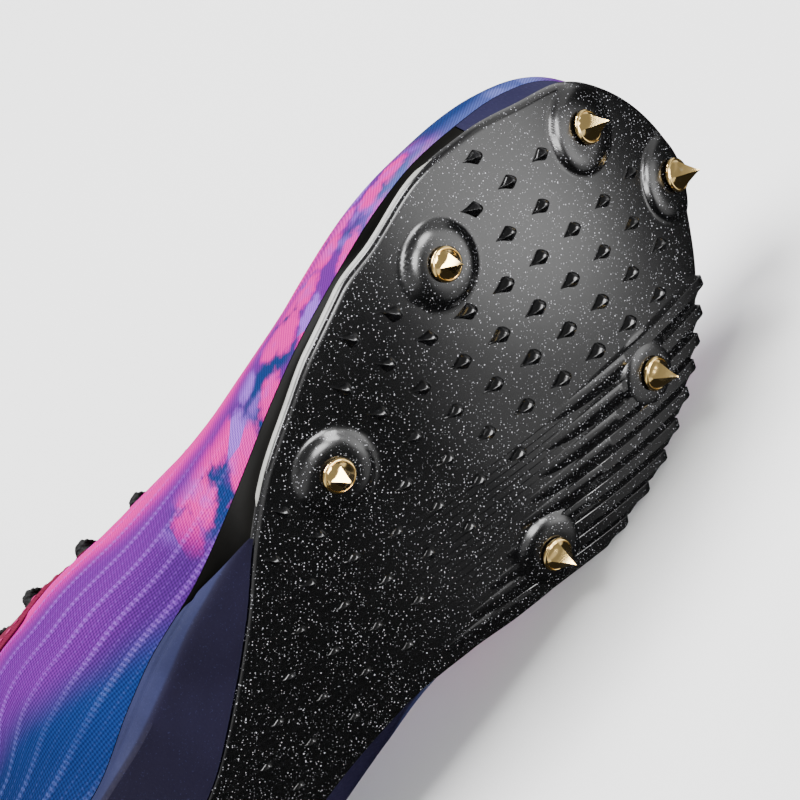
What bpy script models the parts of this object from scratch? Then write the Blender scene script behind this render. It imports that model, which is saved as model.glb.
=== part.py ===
# Track spike shoe for the right foot, lying on its inner side.
# Each piece is shaped in the shoe's own frame: X runs to the toe, Y to the inner
# side of the foot, Z up through the foot. The finished shoe is then laid down.
import math

import bmesh
import bpy
import numpy as np
from mathutils import Matrix, Vector

MM = 0.001

# Overall sizes, which the tables below take their shares of
LENGTH = 280 * MM
WIDTH = 100 * MM
HEIGHT = 100 * MM

# Underside of the sole
TOE_SPRING = 27 * MM
TOE_TAKEOFF = 0.672
ARCH_TAKEOFF = 0.600
ARCH_RADIUS = 401 * MM
HEEL_LEVEL = 4 * MM
HEEL_REACH = 0.393
HEEL_BLEND = 0.214
HEEL_BEVEL = 9 * MM
HEEL_BEVEL_START = 0.09
CROWN_RADIUS = 248 * MM

# Walls and clearances
PLATE_WALL = 2.2 * MM
PLATE_TAIL = 0.275
RIM_ROUND = 0.8 * MM
PLATE_TRIM = 0.1 * MM
FOAM_ROUND = 1.2 * MM
FOAM_BULGE = 1.02
UNIT_INSET = 1.0 * MM
GAP = 0.3 * MM
INSOLE_WALL = 3 * MM
INSOLE_CLEARANCE = 1.8 * MM
TONGUE_WALL = 2.4 * MM
EYESTAY_WALL = 1.0 * MM
EYESTAY_GAP = 0.4 * MM

# Where one sole piece ends and the next begins
WEDGE_TIP = 0.556
WEDGE_TOP = 0.468
TOE_FOAM_START = 0.905

# How finely the sole's floors and roofs follow their curve
SLAB_COLUMNS = 6
PLATE_ROWS = 30
UNIT_ROWS = 30
FOAM_ROWS = 28
FOAM_COLUMNS = 8
INSOLE_ROWS = 26

# Spikes and their bosses
FLANGE_RADIUS = 4.0 * MM
FLANGE_WALL = 0.9 * MM
POINT_RADIUS = 3.1 * MM
POINT_LENGTH = 6.0 * MM
STUD_RADIUS = 2.4 * MM
STUD_LENGTH = 2.6 * MM
STUD_CLEARANCE = 0.3 * MM
BOSS_RADIUS = 9.6 * MM
BOSS_HEIGHT = 1.7 * MM
BOSS_PROFILE = ((0.54, 1.0), (0.72, 0.90), (0.90, 0.58), (1.0, 0.06), (1.0, -0.80))
BOSS_SIDES = 16

# Teeth and ribs of the plate
TOOTH_FIRST = (0.924, -0.191)
TOOTH_ROWS = 18
TOOTH_BACK = 9.3 * MM
TOOTH_SLANT = 6.3 * MM
TOOTH_ACROSS = 10.3 * MM
TOOTH_DRIFT = 0.6 * MM
TOOTH_RADIUS = 1.9 * MM
TOOTH_TAIL = 3.6 * MM
TOOTH_HEIGHT = 1.7 * MM
TOOTH_SUNK = 0.4 * MM
TOOTH_FLARE = 1.25
TOOTH_TIP = 0.35
TOOTH_BIGGEST = 0.80
TOOTH_FADE = 1.5
TOOTH_SMALLEST = 0.55
TOOTH_START = 0.380
TOOTH_STOP = 0.985
TOOTH_MARGIN = 5.5 * MM
TOOTH_CLEAR_OF_BOSS = 2.6 * MM
RIB_HEIGHT = 1.5 * MM
RIB_WALL = 3.4 * MM
RIB_OVERHANG = 1.6 * MM
RIB_LENGTH = 0.34
RIB_SUNK = 0.9 * MM
RIB_FIELD_EDGE = 0.16
RIB_SECTIONS = ((0.0, 0.35), (0.06, 1.0), (0.35, 0.9), (0.70, 0.6), (1.0, 0.15))

# Laces
LACE_WIDTH = 4.2 * MM
LACE_WALL = 1.8 * MM


class Table:
    """Named columns of shares along the shoe, read between rows by a smooth curve."""

    def __init__(self, columns, rows, key="along", rounded=True):
        self.columns = {name: [row[i] for row in rows] for i, name in enumerate(columns)}
        self.rounded = rounded
        self.keys = [self.place(value) for value in self.columns[key]]

    def place(self, along):
        if not self.rounded:
            return along
        return math.acos(max(-1.0, min(1.0, 1 - 2 * along))) / math.pi

    def at(self, along, name):
        return smooth(self.keys, self.columns[name], self.place(along))


def smooth(keys, values, key):
    """Cubic curve through the values that never overshoots a row."""
    key = max(keys[0], min(keys[-1], key))
    slopes = [(values[i + 1] - values[i]) / (keys[i + 1] - keys[i]) for i in range(len(keys) - 1)]
    tangents = [slopes[0]]
    for before, after in zip(slopes, slopes[1:]):
        same_way = before * after > 0
        tangents.append(2 * before * after / (before + after) if same_way else 0.0)
    tangents.append(slopes[-1])
    i = min(len(keys) - 2, max(0, int(np.searchsorted(keys, key)) - 1))
    span = keys[i + 1] - keys[i]
    t = (key - keys[i]) / span
    return (
        values[i] * (1 + 2 * t) * (1 - t) ** 2
        + tangents[i] * span * t * (1 - t) ** 2
        + values[i + 1] * t * t * (3 - 2 * t)
        - tangents[i + 1] * span * t * t * (1 - t)
    )


# Plate outline: shares of its own length, and of WIDTH. The outer side is negative.
PLATE = Table(
    ("along", "outer", "inner"),
    (
        (0.000, 0.050, 0.050),
        (0.030, -0.040, 0.140),
        (0.130, -0.090, 0.185),
        (0.200, -0.146, 0.195),
        (0.300, -0.243, 0.235),
        (0.390, -0.340, 0.322),
        (0.450, -0.387, 0.402),
        (0.515, -0.414, 0.473),
        (0.580, -0.435, 0.512),
        (0.650, -0.438, 0.536),
        (0.710, -0.412, 0.548),
        (0.780, -0.385, 0.538),
        (0.868, -0.285, 0.481),
        (0.931, -0.165, 0.397),
        (0.980, -0.047, 0.313),
        (1.000, 0.140, 0.140),
    ),
)

# Edge where the upper meets the sole: shares of LENGTH, WIDTH and HEIGHT
BITE = Table(
    ("along", "outer", "inner", "rise"),
    (
        (0.000, -0.010, -0.010, 0.290),
        (0.035, -0.190, 0.185, 0.275),
        (0.110, -0.275, 0.275, 0.250),
        (0.214, -0.262, 0.288, 0.225),
        (0.314, -0.252, 0.290, 0.200),
        (0.393, -0.302, 0.298, 0.175),
        (0.441, -0.331, 0.310, 0.150),
        (0.502, -0.342, 0.330, 0.125),
        (0.552, -0.360, 0.365, 0.120),
        (0.603, -0.384, 0.425, 0.118),
        (0.642, -0.405, 0.465, 0.114),
        (0.696, -0.426, 0.505, 0.107),
        (0.730, -0.430, 0.518, 0.106),
        (0.789, -0.420, 0.520, 0.117),
        (0.847, -0.378, 0.490, 0.153),
        (0.909, -0.275, 0.435, 0.215),
        (0.950, -0.180, 0.360, 0.262),
        (0.982, -0.050, 0.270, 0.303),
        (0.996, 0.135, 0.135, 0.320),
    ),
)

# Lower edge of the foam: half widths, how far it lies above the middle of the sole,
# and the share of the width that stays level
FOAM = Table(
    ("along", "outer", "inner", "lift", "level"),
    (
        (0.000, -0.005, -0.005, 0.030, 0.60),
        (0.030, -0.165, 0.160, 0.050, 0.62),
        (0.095, -0.265, 0.262, 0.050, 0.66),
        (0.175, -0.285, 0.285, 0.050, 0.60),
        (0.260, -0.270, 0.280, 0.052, 0.45),
        (0.357, -0.268, 0.272, 0.056, 0.34),
        (0.425, -0.293, 0.275, 0.060, 0.42),
        (0.464, -0.315, 0.280, 0.060, 0.60),
        (0.507, -0.328, 0.294, 0.050, 0.80),
        (0.550, -0.345, 0.335, 0.025, 0.92),
        (0.600, -0.385, 0.420, 0.010, 0.95),
    ),
)

# Upper from the toe (0) round to the heel (1), one row for each station. foot and lip
# are places along LENGTH of its lower and upper edge. The others are shares of WIDTH
# across the shoe and of HEIGHT up it: where the lip lies on each side, how far the wall
# leans out and rises from the sole, how far it spreads and drops from the lip, and the
# thickness of the wall in shares of WIDTH.
UPPER = Table(
    ("turn", "foot", "lip", "lip_outer", "lip_inner", "lip_rise",
     "lean_outer", "lean_inner", "rise", "spread", "drop", "wall"),
    (
        (0.00, 0.996, 0.664, 0.030, 0.030, 0.540, 0.046, 0.046, 0.150, 0.500, 0.100, 0.014),
        (0.07, 0.957, 0.661, -0.015, 0.075, 0.543, 0.038, 0.025, 0.162, 0.405, 0.095, 0.014),
        (0.15, 0.875, 0.654, -0.055, 0.115, 0.550, 0.015, 0.020, 0.163, 0.300, 0.095, 0.014),
        (0.24, 0.768, 0.628, -0.095, 0.150, 0.560, -0.008, 0.005, 0.160, 0.215, 0.095, 0.014),
        (0.33, 0.661, 0.589, -0.120, 0.165, 0.595, 0.008, 0.010, 0.193, 0.200, 0.105, 0.014),
        (0.41, 0.571, 0.536, -0.145, 0.175, 0.655, 0.051, 0.020, 0.240, 0.217, 0.110, 0.014),
        (0.49, 0.493, 0.471, -0.172, 0.180, 0.730, 0.093, 0.020, 0.279, 0.227, 0.130, 0.014),
        (0.57, 0.421, 0.411, -0.195, 0.190, 0.805, 0.125, 0.030, 0.312, 0.209, 0.130, 0.014),
        (0.65, 0.350, 0.350, -0.222, 0.205, 0.865, 0.150, 0.050, 0.342, 0.179, 0.155, 0.016),
        (0.72, 0.279, 0.290, -0.275, 0.260, 0.745, 0.090, 0.050, 0.300, 0.060, 0.200, 0.022),
        (0.80, 0.196, 0.207, -0.300, 0.280, 0.630, 0.060, 0.040, 0.180, 0.050, 0.140, 0.028),
        (0.88, 0.107, 0.121, -0.270, 0.250, 0.665, 0.050, 0.040, 0.180, 0.060, 0.160, 0.030),
        (0.95, 0.036, 0.052, -0.170, 0.160, 0.775, 0.040, 0.040, 0.200, 0.060, 0.200, 0.030),
        (1.00, 0.000, 0.025, 0.000, 0.000, 0.840, 0.040, 0.040, 0.200, 0.060, 0.200, 0.030),
    ),
    key="turn",
    rounded=False,
)

# Spikes: place along LENGTH and across WIDTH
SPIKES = {
    "spike_toe_outer": (0.957, 0.004),
    "spike_toe_inner": (0.966, 0.305),
    "spike_middle_outer": (0.805, -0.245),
    "spike_middle_inner": (0.819, 0.415),
    "spike_rear_outer": (0.626, -0.246),
    "spike_rear_inner": (0.656, 0.377),
}

# Ribs of the inner edge: place of each one's tip along LENGTH and across WIDTH
RIBS = (
    (0.902, 0.472),
    (0.881, 0.498),
    (0.860, 0.518),
    (0.840, 0.533),
    (0.818, 0.545),
    (0.792, 0.552),
    (0.765, 0.555),
    (0.736, 0.547),
    (0.704, 0.533),
)
RIB_TURN = math.radians(33)

# Laces: turn of each pair of eyelets round the upper
EYELET_TURNS = (0.285, 0.355, 0.425, 0.495, 0.565, 0.632)
LACE_OVER_EDGE = ((0.0, 0.90), (0.10, 0.95), (0.20, 1.00))
LACE_ARCH = 2.5 * MM
LACE_LAYER = 0.4
LACE_SECTION = ((-1, -0.6), (1, -0.6), (0.8, 1), (-0.8, 1))

# Pieces that lie in the throat
EYESTAY_STATIONS = 18
EYESTAY_LOW = 0.80
EYESTAY_STEPS = 3
EYESTAY_TOE_RISE = 0.06
EYESTAY_TOE_TURN = 0.30
TONGUE_START = 0.16
TONGUE_END = 0.625
TONGUE_SETTLE = 0.12
TONGUE_DIP = 1.2 * MM
TONGUE_TOP = 24 * MM
TONGUE_TIP = ((0.2, 0.30), (0.6, 0.34), (1.0, 0.52))
TONGUE_ROWS = 16
TONGUE_RISE = 0.10
TONGUE_COLUMNS = 5
TONGUE_LEVELS = (0.84, 0.92, 0.99)
TONGUE_UNDER_VAMP = 0.08
SIDE_STATIONS = 28
SKIN_LEVELS = 8
EYESTAY_END = EYESTAY_STATIONS / SIDE_STATIONS


# Sole surfaces

def arc_rise(distance, radius):
    return radius - math.sqrt(max(0.0, radius * radius - distance * distance))


def ease(share):
    share = max(0.0, min(1.0, share))
    return share * share * (3 - 2 * share)


def flat_heel(x):
    """Grows from 0 at the arch to 1 where the heel is level."""
    return ease((LENGTH * HEEL_REACH - x) / (LENGTH * HEEL_BLEND))


def keel(x):
    """Height of the middle of the underside."""
    toe_run = LENGTH * (1 - TOE_TAKEOFF)
    toe_radius = (toe_run ** 2 + TOE_SPRING ** 2) / (2 * TOE_SPRING)
    ahead = x - LENGTH * TOE_TAKEOFF
    if ahead > 0:
        return arc_rise(min(ahead, toe_radius * 0.95), toe_radius)
    behind = LENGTH * ARCH_TAKEOFF - x
    if behind <= 0:
        return 0.0
    arch = arc_rise(behind, ARCH_RADIUS)
    bevel_start = LENGTH * HEEL_BEVEL_START
    bevel = HEEL_BEVEL * (max(0.0, bevel_start - x) / bevel_start) ** 2
    return arch + (HEEL_LEVEL - arch) * flat_heel(x) + bevel


def plate_bottom(x, y):
    return keel(x) + arc_rise(y, CROWN_RADIUS)


def plate_top(x, y):
    return plate_bottom(x, y) + PLATE_WALL


def foam_bottom(x, y):
    along = x / LENGTH
    outer = FOAM.at(along, "outer") * WIDTH
    inner = FOAM.at(along, "inner") * WIDTH
    middle = (outer + inner) / 2
    half = max(MM, (inner - outer) / 2)
    level = FOAM.at(along, "level")
    share = min(1.0, max(0.0, (abs(y - middle) / half - level) / (1 - level)))
    crown = arc_rise(y, CROWN_RADIUS) * (1 - flat_heel(x))
    return keel(x) + crown + (FOAM.at(along, "lift") * HEIGHT - crown) * share ** 1.4


def sole_top(x, y):
    """Top of the sole: BITE gives it at the outer edge, and the crown carries it across."""
    along = x / LENGTH
    edge = BITE.at(along, "outer") * WIDTH
    crown = arc_rise(y, CROWN_RADIUS) - arc_rise(edge, CROWN_RADIUS)
    return BITE.at(along, "rise") * HEIGHT + crown * (1 - flat_heel(x))


def offset_height(height, amount):
    return lambda x, y: height(x, y) + amount


# Outlines: one pair of points, outer and inner, for each row from heel to toe

def outline(table, start, stop, rows, inset=0.0):
    """Loop of plan points, tail first, along the outer side, and back along the inner."""
    shares = [(1 - math.cos(math.pi * i / rows)) / 2 for i in range(rows + 1)]
    first, last = table.columns["along"][0], table.columns["along"][-1]
    outer = []
    inner = []
    for share in shares:
        along = first + (last - first) * share
        x = start + (stop - start) * share
        outer.append((x, table.at(along, "outer") * WIDTH))
        inner.append((x, table.at(along, "inner") * WIDTH))
    loop = np.array(outer + inner[-2:0:-1])
    tangents = np.roll(loop, -1, axis=0) - np.roll(loop, 1, axis=0)
    tangents /= np.linalg.norm(tangents, axis=1)[:, None]
    inward = np.stack((-tangents[:, 1], tangents[:, 0]), axis=1)
    return loop + inward * inset


def lift_loop(loop, height):
    return [Vector((x, y, height(x, y))) for x, y in loop]


def cap(bm, ring, height, columns):
    """Closes a ring with rows that run from its outer to its inner side."""
    rows = len(ring) // 2
    previous = [ring[0]]
    for i in range(1, rows + 1):
        if i < rows:
            left, right = ring[i], ring[-i]
            row = [left]
            for k in range(1, columns):
                x, y, _ = left.co.lerp(right.co, k / columns)
                row.append(bm.verts.new((x, y, height(x, y))))
            row.append(right)
        else:
            row = [ring[rows]]
        join_rows(bm, previous, row)
        previous = row


def join_rows(bm, first, second):
    if len(first) == 1 or len(second) == 1:
        tip, row = (first[0], second) if len(first) == 1 else (second[0], first)
        for a, b in zip(row, row[1:]):
            bm.faces.new((tip, a, b))
        return
    for k in range(len(first) - 1):
        bm.faces.new((first[k], first[k + 1], second[k + 1], second[k]))


def join_rings(bm, lower, upper):
    count = len(lower)
    for i in range(count):
        j = (i + 1) % count
        bm.faces.new((lower[i], lower[j], upper[j], upper[i]))


def slab_mesh(rings, floor, roof, floor_columns=SLAB_COLUMNS):
    """Closed solid through rings from bottom to top, with a curved floor and roof."""
    bm = bmesh.new()
    built = [[bm.verts.new(point) for point in ring] for ring in rings]
    for lower, upper in zip(built, built[1:]):
        join_rings(bm, lower, upper)
    cap(bm, built[0], floor, floor_columns)
    cap(bm, built[-1], roof, SLAB_COLUMNS)
    return bm


# Objects

def finish_mesh(bm, name):
    bmesh.ops.recalc_face_normals(bm, faces=bm.faces)
    if bm.calc_volume(signed=True) < 0:
        bmesh.ops.reverse_faces(bm, faces=bm.faces)
    mesh = bpy.data.meshes.new(name)
    bm.to_mesh(mesh)
    bm.free()
    return mesh


def make_object(bm, name, material=None, smooth_angle=35):
    mesh = finish_mesh(bm, name)
    mesh.shade_smooth()
    mesh.set_sharp_from_angle(angle=math.radians(smooth_angle))
    thing = bpy.data.objects.new(name, mesh)
    bpy.context.scene.collection.objects.link(thing)
    if material:
        mesh.materials.append(material)
    return thing


def make_guide(bm, name):
    guide = make_object(bm, name)
    guide.hide_render = True
    guide.display_type = "WIRE"
    return guide


def apply_boolean(thing, guide, operation):
    modifier = thing.modifiers.new(guide.name, "BOOLEAN")
    modifier.operation = operation
    modifier.object = guide
    bpy.context.view_layer.update()
    evaluated = thing.evaluated_get(bpy.context.evaluated_depsgraph_get())
    mesh = bpy.data.meshes.new_from_object(evaluated)
    thing.modifiers.clear()
    thing.data = mesh
    bpy.data.objects.remove(guide)


def material(name, colour, roughness, metallic=0.0):
    made = bpy.data.materials.new(name)
    made.use_nodes = True
    shader = made.node_tree.nodes["Principled BSDF"]
    shader.inputs["Base Color"].default_value = (*colour, 1)
    shader.inputs["Roughness"].default_value = roughness
    shader.inputs["Metallic"].default_value = metallic
    return made


# Spiked plate

def plate_span():
    return LENGTH * PLATE_TAIL, LENGTH


def plate_rings(spread=0.0, rows=PLATE_ROWS):
    """Rings of the plate from its rounded lower edge to its upper one."""
    start, stop = plate_span()
    lower = outline(PLATE, start, stop, rows, RIM_ROUND - spread)
    side = outline(PLATE, start, stop, rows, -spread)
    half_wall = PLATE_WALL / 2
    return [
        lift_loop(lower, offset_height(plate_bottom, -spread)),
        lift_loop(side, offset_height(plate_bottom, RIM_ROUND)),
        lift_loop(side, offset_height(plate_bottom, half_wall + RIM_ROUND)),
        lift_loop(outline(PLATE, start, stop, rows, RIM_ROUND / 2 - spread),
                  offset_height(plate_top, spread)),
    ]


def surface_frame(x, y):
    """Place and turn on the underside, with the frame's Z pointing out of the sole."""
    step = MM
    slope_x = (plate_bottom(x + step, y) - plate_bottom(x - step, y)) / (2 * step)
    slope_y = (plate_bottom(x, y + step) - plate_bottom(x, y - step)) / (2 * step)
    out = Vector((slope_x, slope_y, -1)).normalized()
    forward = Vector((1, 0, slope_x)).normalized()
    across = out.cross(forward)
    turn = Matrix((forward, across, out)).transposed().to_4x4()
    return Matrix.Translation((x, y, plate_bottom(x, y))) @ turn


def turned_mesh(profile, sides):
    """Solid about Z from rows of radius, height and how square it is, top to bottom."""
    bm = bmesh.new()
    rings = []
    for radius, height, square in profile:
        if radius == 0:
            rings.append([bm.verts.new((0, 0, height))])
            continue
        ring = []
        for k in range(sides):
            angle = 2 * math.pi * k / sides
            flat = math.cos(math.pi / 4) / max(
                abs(math.cos(angle - math.pi / 4)), abs(math.sin(angle - math.pi / 4)))
            reach = radius * (1 + (flat - 1) * square)
            ring.append(bm.verts.new((reach * math.cos(angle), reach * math.sin(angle), height)))
        rings.append(ring)
    for first, second in zip(rings, rings[1:]):
        if len(first) > 1:
            join_rings(bm, first, second)
        else:
            for k in range(sides):
                bm.faces.new((first[0], second[k], second[(k + 1) % sides]))
    for ring in (rings[0], rings[-1]):
        if len(ring) > 1:
            bm.faces.new(ring)
    return bm


def spike_place(share):
    along, across = share
    return surface_frame(along * LENGTH, across * WIDTH)


def boss_mesh():
    profile = [(BOSS_RADIUS * reach, BOSS_HEIGHT * rise, 0) for reach, rise in BOSS_PROFILE]
    return turned_mesh(profile, BOSS_SIDES)


def socket_mesh():
    radius = STUD_RADIUS + STUD_CLEARANCE
    return turned_mesh(
        ((radius, BOSS_HEIGHT + MM, 0), (radius, BOSS_HEIGHT - STUD_LENGTH - STUD_CLEARANCE, 0)), 12)


def tooth_mesh(size):
    """Small shark-tooth stud whose tail runs back toward the heel."""
    bm = bmesh.new()
    front = [
        (math.cos(a) * TOOTH_RADIUS * size, math.sin(a) * TOOTH_RADIUS * size)
        for a in (math.radians(d) for d in (-90, 0, 90))
    ]
    base = front + [(-TOOTH_TAIL * size, 0)]
    ring = [bm.verts.new((x * TOOTH_FLARE, y * TOOTH_FLARE, -TOOTH_SUNK)) for x, y in base]
    tip = bm.verts.new((TOOTH_RADIUS * size * TOOTH_TIP, 0, TOOTH_HEIGHT * size))
    for k in range(len(ring)):
        bm.faces.new((ring[k], ring[(k + 1) % len(ring)], tip))
    bm.faces.new(ring)
    return bm


def rib_mesh(along, across):
    """Rib that follows the plate back from a point at its edge and thins out."""
    bm = bmesh.new()
    turn = Matrix.Rotation(-RIB_TURN, 4, "Z")
    rings = []
    for back, size in RIB_SECTIONS:
        reach = RIB_OVERHANG - back * RIB_LENGTH * WIDTH
        x = along * LENGTH + reach * math.cos(RIB_TURN)
        y = across * WIDTH + reach * math.sin(RIB_TURN)
        half = RIB_WALL / 2 * (0.4 + 0.6 * size)
        section = ((-half, -RIB_SUNK), (-half, 0), (half * 0.4, RIB_HEIGHT * size),
                   (half, 0), (half, -RIB_SUNK))
        place = surface_frame(x, y) @ turn
        rings.append([bm.verts.new(place @ Vector((0, a, b))) for a, b in section])
    for first, second in zip(rings, rings[1:]):
        join_rings(bm, first, second)
    bm.faces.new(rings[0])
    bm.faces.new(rings[-1])
    return bm


def add_to(target, source, place):
    """Copies one mesh into another at a place."""
    bmesh.ops.recalc_face_normals(source, faces=source.faces)
    bmesh.ops.transform(source, matrix=place, verts=source.verts)
    copies = {vert: target.verts.new(vert.co) for vert in source.verts}
    for face in source.faces:
        target.faces.new([copies[vert] for vert in face.verts])
    source.free()


def plate_reach(x):
    start, stop = plate_span()
    share = (x - start) / (stop - start)
    return PLATE.at(share, "outer") * WIDTH, PLATE.at(share, "inner") * WIDTH


def rib_front(y):
    """Place along the shoe where the field of ribs begins, for a place across it."""
    along, across = RIBS[0]
    return along * LENGTH + (y - across * WIDTH) / math.tan(RIB_TURN)


def tooth_places():
    """Slanted rows of teeth that keep off the bosses, the ribs and the rim."""
    first_x, first_y = TOOTH_FIRST[0] * LENGTH, TOOTH_FIRST[1] * WIDTH
    places = []
    for back in range(-2, TOOTH_ROWS):
        for across in range(-TOOTH_ROWS, TOOTH_ROWS):
            x = first_x - back * TOOTH_BACK - across * TOOTH_DRIFT
            y = first_y - back * TOOTH_SLANT + across * TOOTH_ACROSS
            if not LENGTH * TOOTH_START < x < LENGTH * TOOTH_STOP:
                continue
            outer, inner = plate_reach(x)
            if outer + TOOTH_MARGIN < y < inner - TOOTH_MARGIN:
                places.append((x, y))
    return [place for place in places if clear_of_bosses(*place) and not in_ribs(*place)]


def clear_of_bosses(x, y):
    reach = BOSS_RADIUS + TOOTH_CLEAR_OF_BOSS
    return all(math.hypot(x - a * LENGTH, y - b * WIDTH) > reach for a, b in SPIKES.values())


def in_ribs(x, y):
    last_along, last_across = RIBS[-1]
    behind_front = x < rib_front(y) + TOOTH_TAIL
    rib_tail = last_along * LENGTH + (y - last_across * WIDTH) / math.tan(RIB_TURN)
    near_edge = y > WIDTH * RIB_FIELD_EDGE
    return behind_front and x > rib_tail - TOOTH_BACK and near_edge


def plate_column():
    """Upright block over the plate's lower edge, which trims what would overhang it."""
    loop = outline(PLATE, *plate_span(), PLATE_ROWS, RIM_ROUND + PLATE_TRIM)
    rings = [lift_loop(loop, lambda x, y: -HEIGHT), lift_loop(loop, lambda x, y: HEIGHT)]
    return slab_mesh(rings, lambda x, y: -HEIGHT, lambda x, y: HEIGHT)


def make_plate(paint):
    rings = plate_rings()
    plate = make_object(slab_mesh(rings, plate_bottom, plate_top), "spike_plate", paint)
    lugs = bmesh.new()
    for x, y in tooth_places():
        size = max(TOOTH_SMALLEST, 1 - TOOTH_FADE * abs(x / LENGTH - TOOTH_BIGGEST))
        add_to(lugs, tooth_mesh(size), surface_frame(x, y))
    apply_boolean(plate, make_guide(lugs, "teeth"), "UNION")
    for share in RIBS:
        apply_boolean(plate, make_guide(rib_mesh(*share), "rib"), "UNION")
    bosses = bmesh.new()
    for share in SPIKES.values():
        add_to(bosses, boss_mesh(), spike_place(share))
    trimmed = make_guide(bosses, "bosses")
    apply_boolean(trimmed, make_guide(plate_column(), "plate_column"), "INTERSECT")
    apply_boolean(plate, trimmed, "UNION")
    sockets = bmesh.new()
    for share in SPIKES.values():
        add_to(sockets, socket_mesh(), spike_place(share))
    apply_boolean(plate, make_guide(sockets, "sockets"), "DIFFERENCE")
    return plate


def make_spike(name, share, paint):
    """Screw-in spike: stud, round flange and a four-sided hollow-ground point."""
    bm = turned_mesh(
        (
            (0, FLANGE_WALL + POINT_LENGTH, 1),
            (POINT_RADIUS * 0.42, FLANGE_WALL + POINT_LENGTH * 0.48, 1),
            (POINT_RADIUS, FLANGE_WALL, 0.8),
            (FLANGE_RADIUS * 0.94, FLANGE_WALL, 0),
            (FLANGE_RADIUS, 0, 0),
            (STUD_RADIUS, 0, 0),
            (STUD_RADIUS, -STUD_LENGTH, 0),
        ),
        12,
    )
    spike = make_object(bm, name, paint, 25)
    lift = Matrix.Translation((0, 0, BOSS_HEIGHT + GAP))
    spike.matrix_world = spike_place(share) @ lift
    return spike


# Sole pieces above the plate

def slanted_guide(name, low_x, high_x, low_z, high_z, ahead):
    """Large block with a slanted face, which keeps what lies ahead of it or behind it."""
    far = LENGTH * 4 if ahead else -LENGTH * 4
    lean = (high_x - low_x) / (high_z - low_z)
    bottom, top = -HEIGHT, HEIGHT
    bm = bmesh.new()
    points = []
    for y in (-WIDTH, WIDTH):
        points += [
            (low_x + (bottom - low_z) * lean, y, bottom), (far, y, bottom),
            (far, y, top), (low_x + (top - low_z) * lean, y, top),
        ]
    verts = [bm.verts.new(point) for point in points]
    for face in ((0, 1, 2, 3), (4, 5, 6, 7), (0, 1, 5, 4), (1, 2, 6, 5), (2, 3, 7, 6), (3, 0, 4, 7)):
        bm.faces.new([verts[i] for i in face])
    return make_guide(bm, name)


def wedge_guide(name, gap, ahead):
    """Guide along the wedge between the foam and the forefoot, moved square to its face."""
    tip_x = LENGTH * WEDGE_TIP
    top_x = LENGTH * WEDGE_TOP
    tip_z = plate_top(tip_x, 0)
    top_z = sole_top(top_x, 0)
    shift = gap * math.hypot(tip_x - top_x, top_z - tip_z) / (top_z - tip_z)
    return slanted_guide(name, tip_x + shift, top_x + shift, tip_z, top_z, ahead)


def forefoot_rings():
    """Rings of the body between the plate and the upper, over the whole plate."""
    foot = outline(PLATE, *plate_span(), UNIT_ROWS, UNIT_INSET)
    head = foot.copy()
    for i, (x, y) in enumerate(foot):
        along = x / LENGTH
        if i <= UNIT_ROWS:
            head[i][1] = max(y, BITE.at(along, "outer") * WIDTH)
        else:
            head[i][1] = min(y, BITE.at(along, "inner") * WIDTH)
    return [lift_loop(foot, offset_height(plate_top, GAP)), lift_loop(head, sole_top)]


def make_forefoot(name, paint, start_guide, stop_guide):
    floor = offset_height(plate_top, GAP)
    piece = make_object(slab_mesh(forefoot_rings(), floor, sole_top), name, paint)
    for guide in (start_guide, stop_guide):
        if guide:
            apply_boolean(piece, guide, "INTERSECT")
    return piece


def foam_rings():
    """Rings of the foam from its lower edge, over a small round, to the upper's edge."""
    lower = outline(FOAM, 0.0, LENGTH * FOAM.columns["along"][-1], FOAM_ROWS)
    side = []
    head = []
    for i, (x, y) in enumerate(lower):
        edge = "outer" if i <= FOAM_ROWS else "inner"
        side.append(Vector((x, y * FOAM_BULGE, foam_bottom(x, y) + FOAM_ROUND)))
        head.append((x, BITE.at(x / LENGTH, edge) * WIDTH))
    return [lift_loop(lower, foam_bottom), side, lift_loop(head, sole_top)]


def make_foam(paint):
    foam = make_object(slab_mesh(foam_rings(), foam_bottom, sole_top, FOAM_COLUMNS), "midsole_foam", paint)
    apply_boolean(foam, wedge_guide("wedge", -GAP, False), "INTERSECT")
    rings = plate_rings(GAP)
    deep = -20 * MM
    below = [[Vector((p.x, p.y, p.z + deep)) for p in rings[0]]] + rings[1:]
    cutter = slab_mesh(below, offset_height(plate_bottom, deep), offset_height(plate_top, GAP))
    apply_boolean(foam, make_guide(cutter, "plate_recess"), "DIFFERENCE")
    return foam


def make_insole(paint):
    """Footbed with its edge drawn in from the inside of the upper."""
    inset = UPPER.at(1.0, "wall") * WIDTH + INSOLE_CLEARANCE
    loop = outline(BITE, 0.0, LENGTH * BITE.columns["along"][-1], INSOLE_ROWS, inset)
    floor = offset_height(sole_top, GAP)
    roof = offset_height(sole_top, GAP + INSOLE_WALL)
    rings = [lift_loop(loop, floor), lift_loop(loop, roof)]
    return make_object(slab_mesh(rings, floor, roof), "insole", paint)


# Upper

def around(turn):
    """Share from toe to heel, and the side, for a turn that runs on past either end."""
    turn = (turn + 1) % 2 - 1
    return (abs(turn), "outer" if turn >= 0 else "inner")


def bite_point(turn):
    share, side = around(turn)
    along = UPPER.at(share, "foot")
    y = BITE.at(along, side) * WIDTH
    return Vector((along * LENGTH, y, sole_top(along * LENGTH, y) + GAP))


def lip_point(turn):
    share, side = around(turn)
    return Vector((
        UPPER.at(share, "lip") * LENGTH,
        UPPER.at(share, "lip_" + side) * WIDTH,
        UPPER.at(share, "lip_rise") * HEIGHT,
    ))


def outward(turn):
    step = 0.012
    run = bite_point(turn + step) - bite_point(turn - step)
    return Vector((-run.y, run.x, 0)).normalized()


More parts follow.
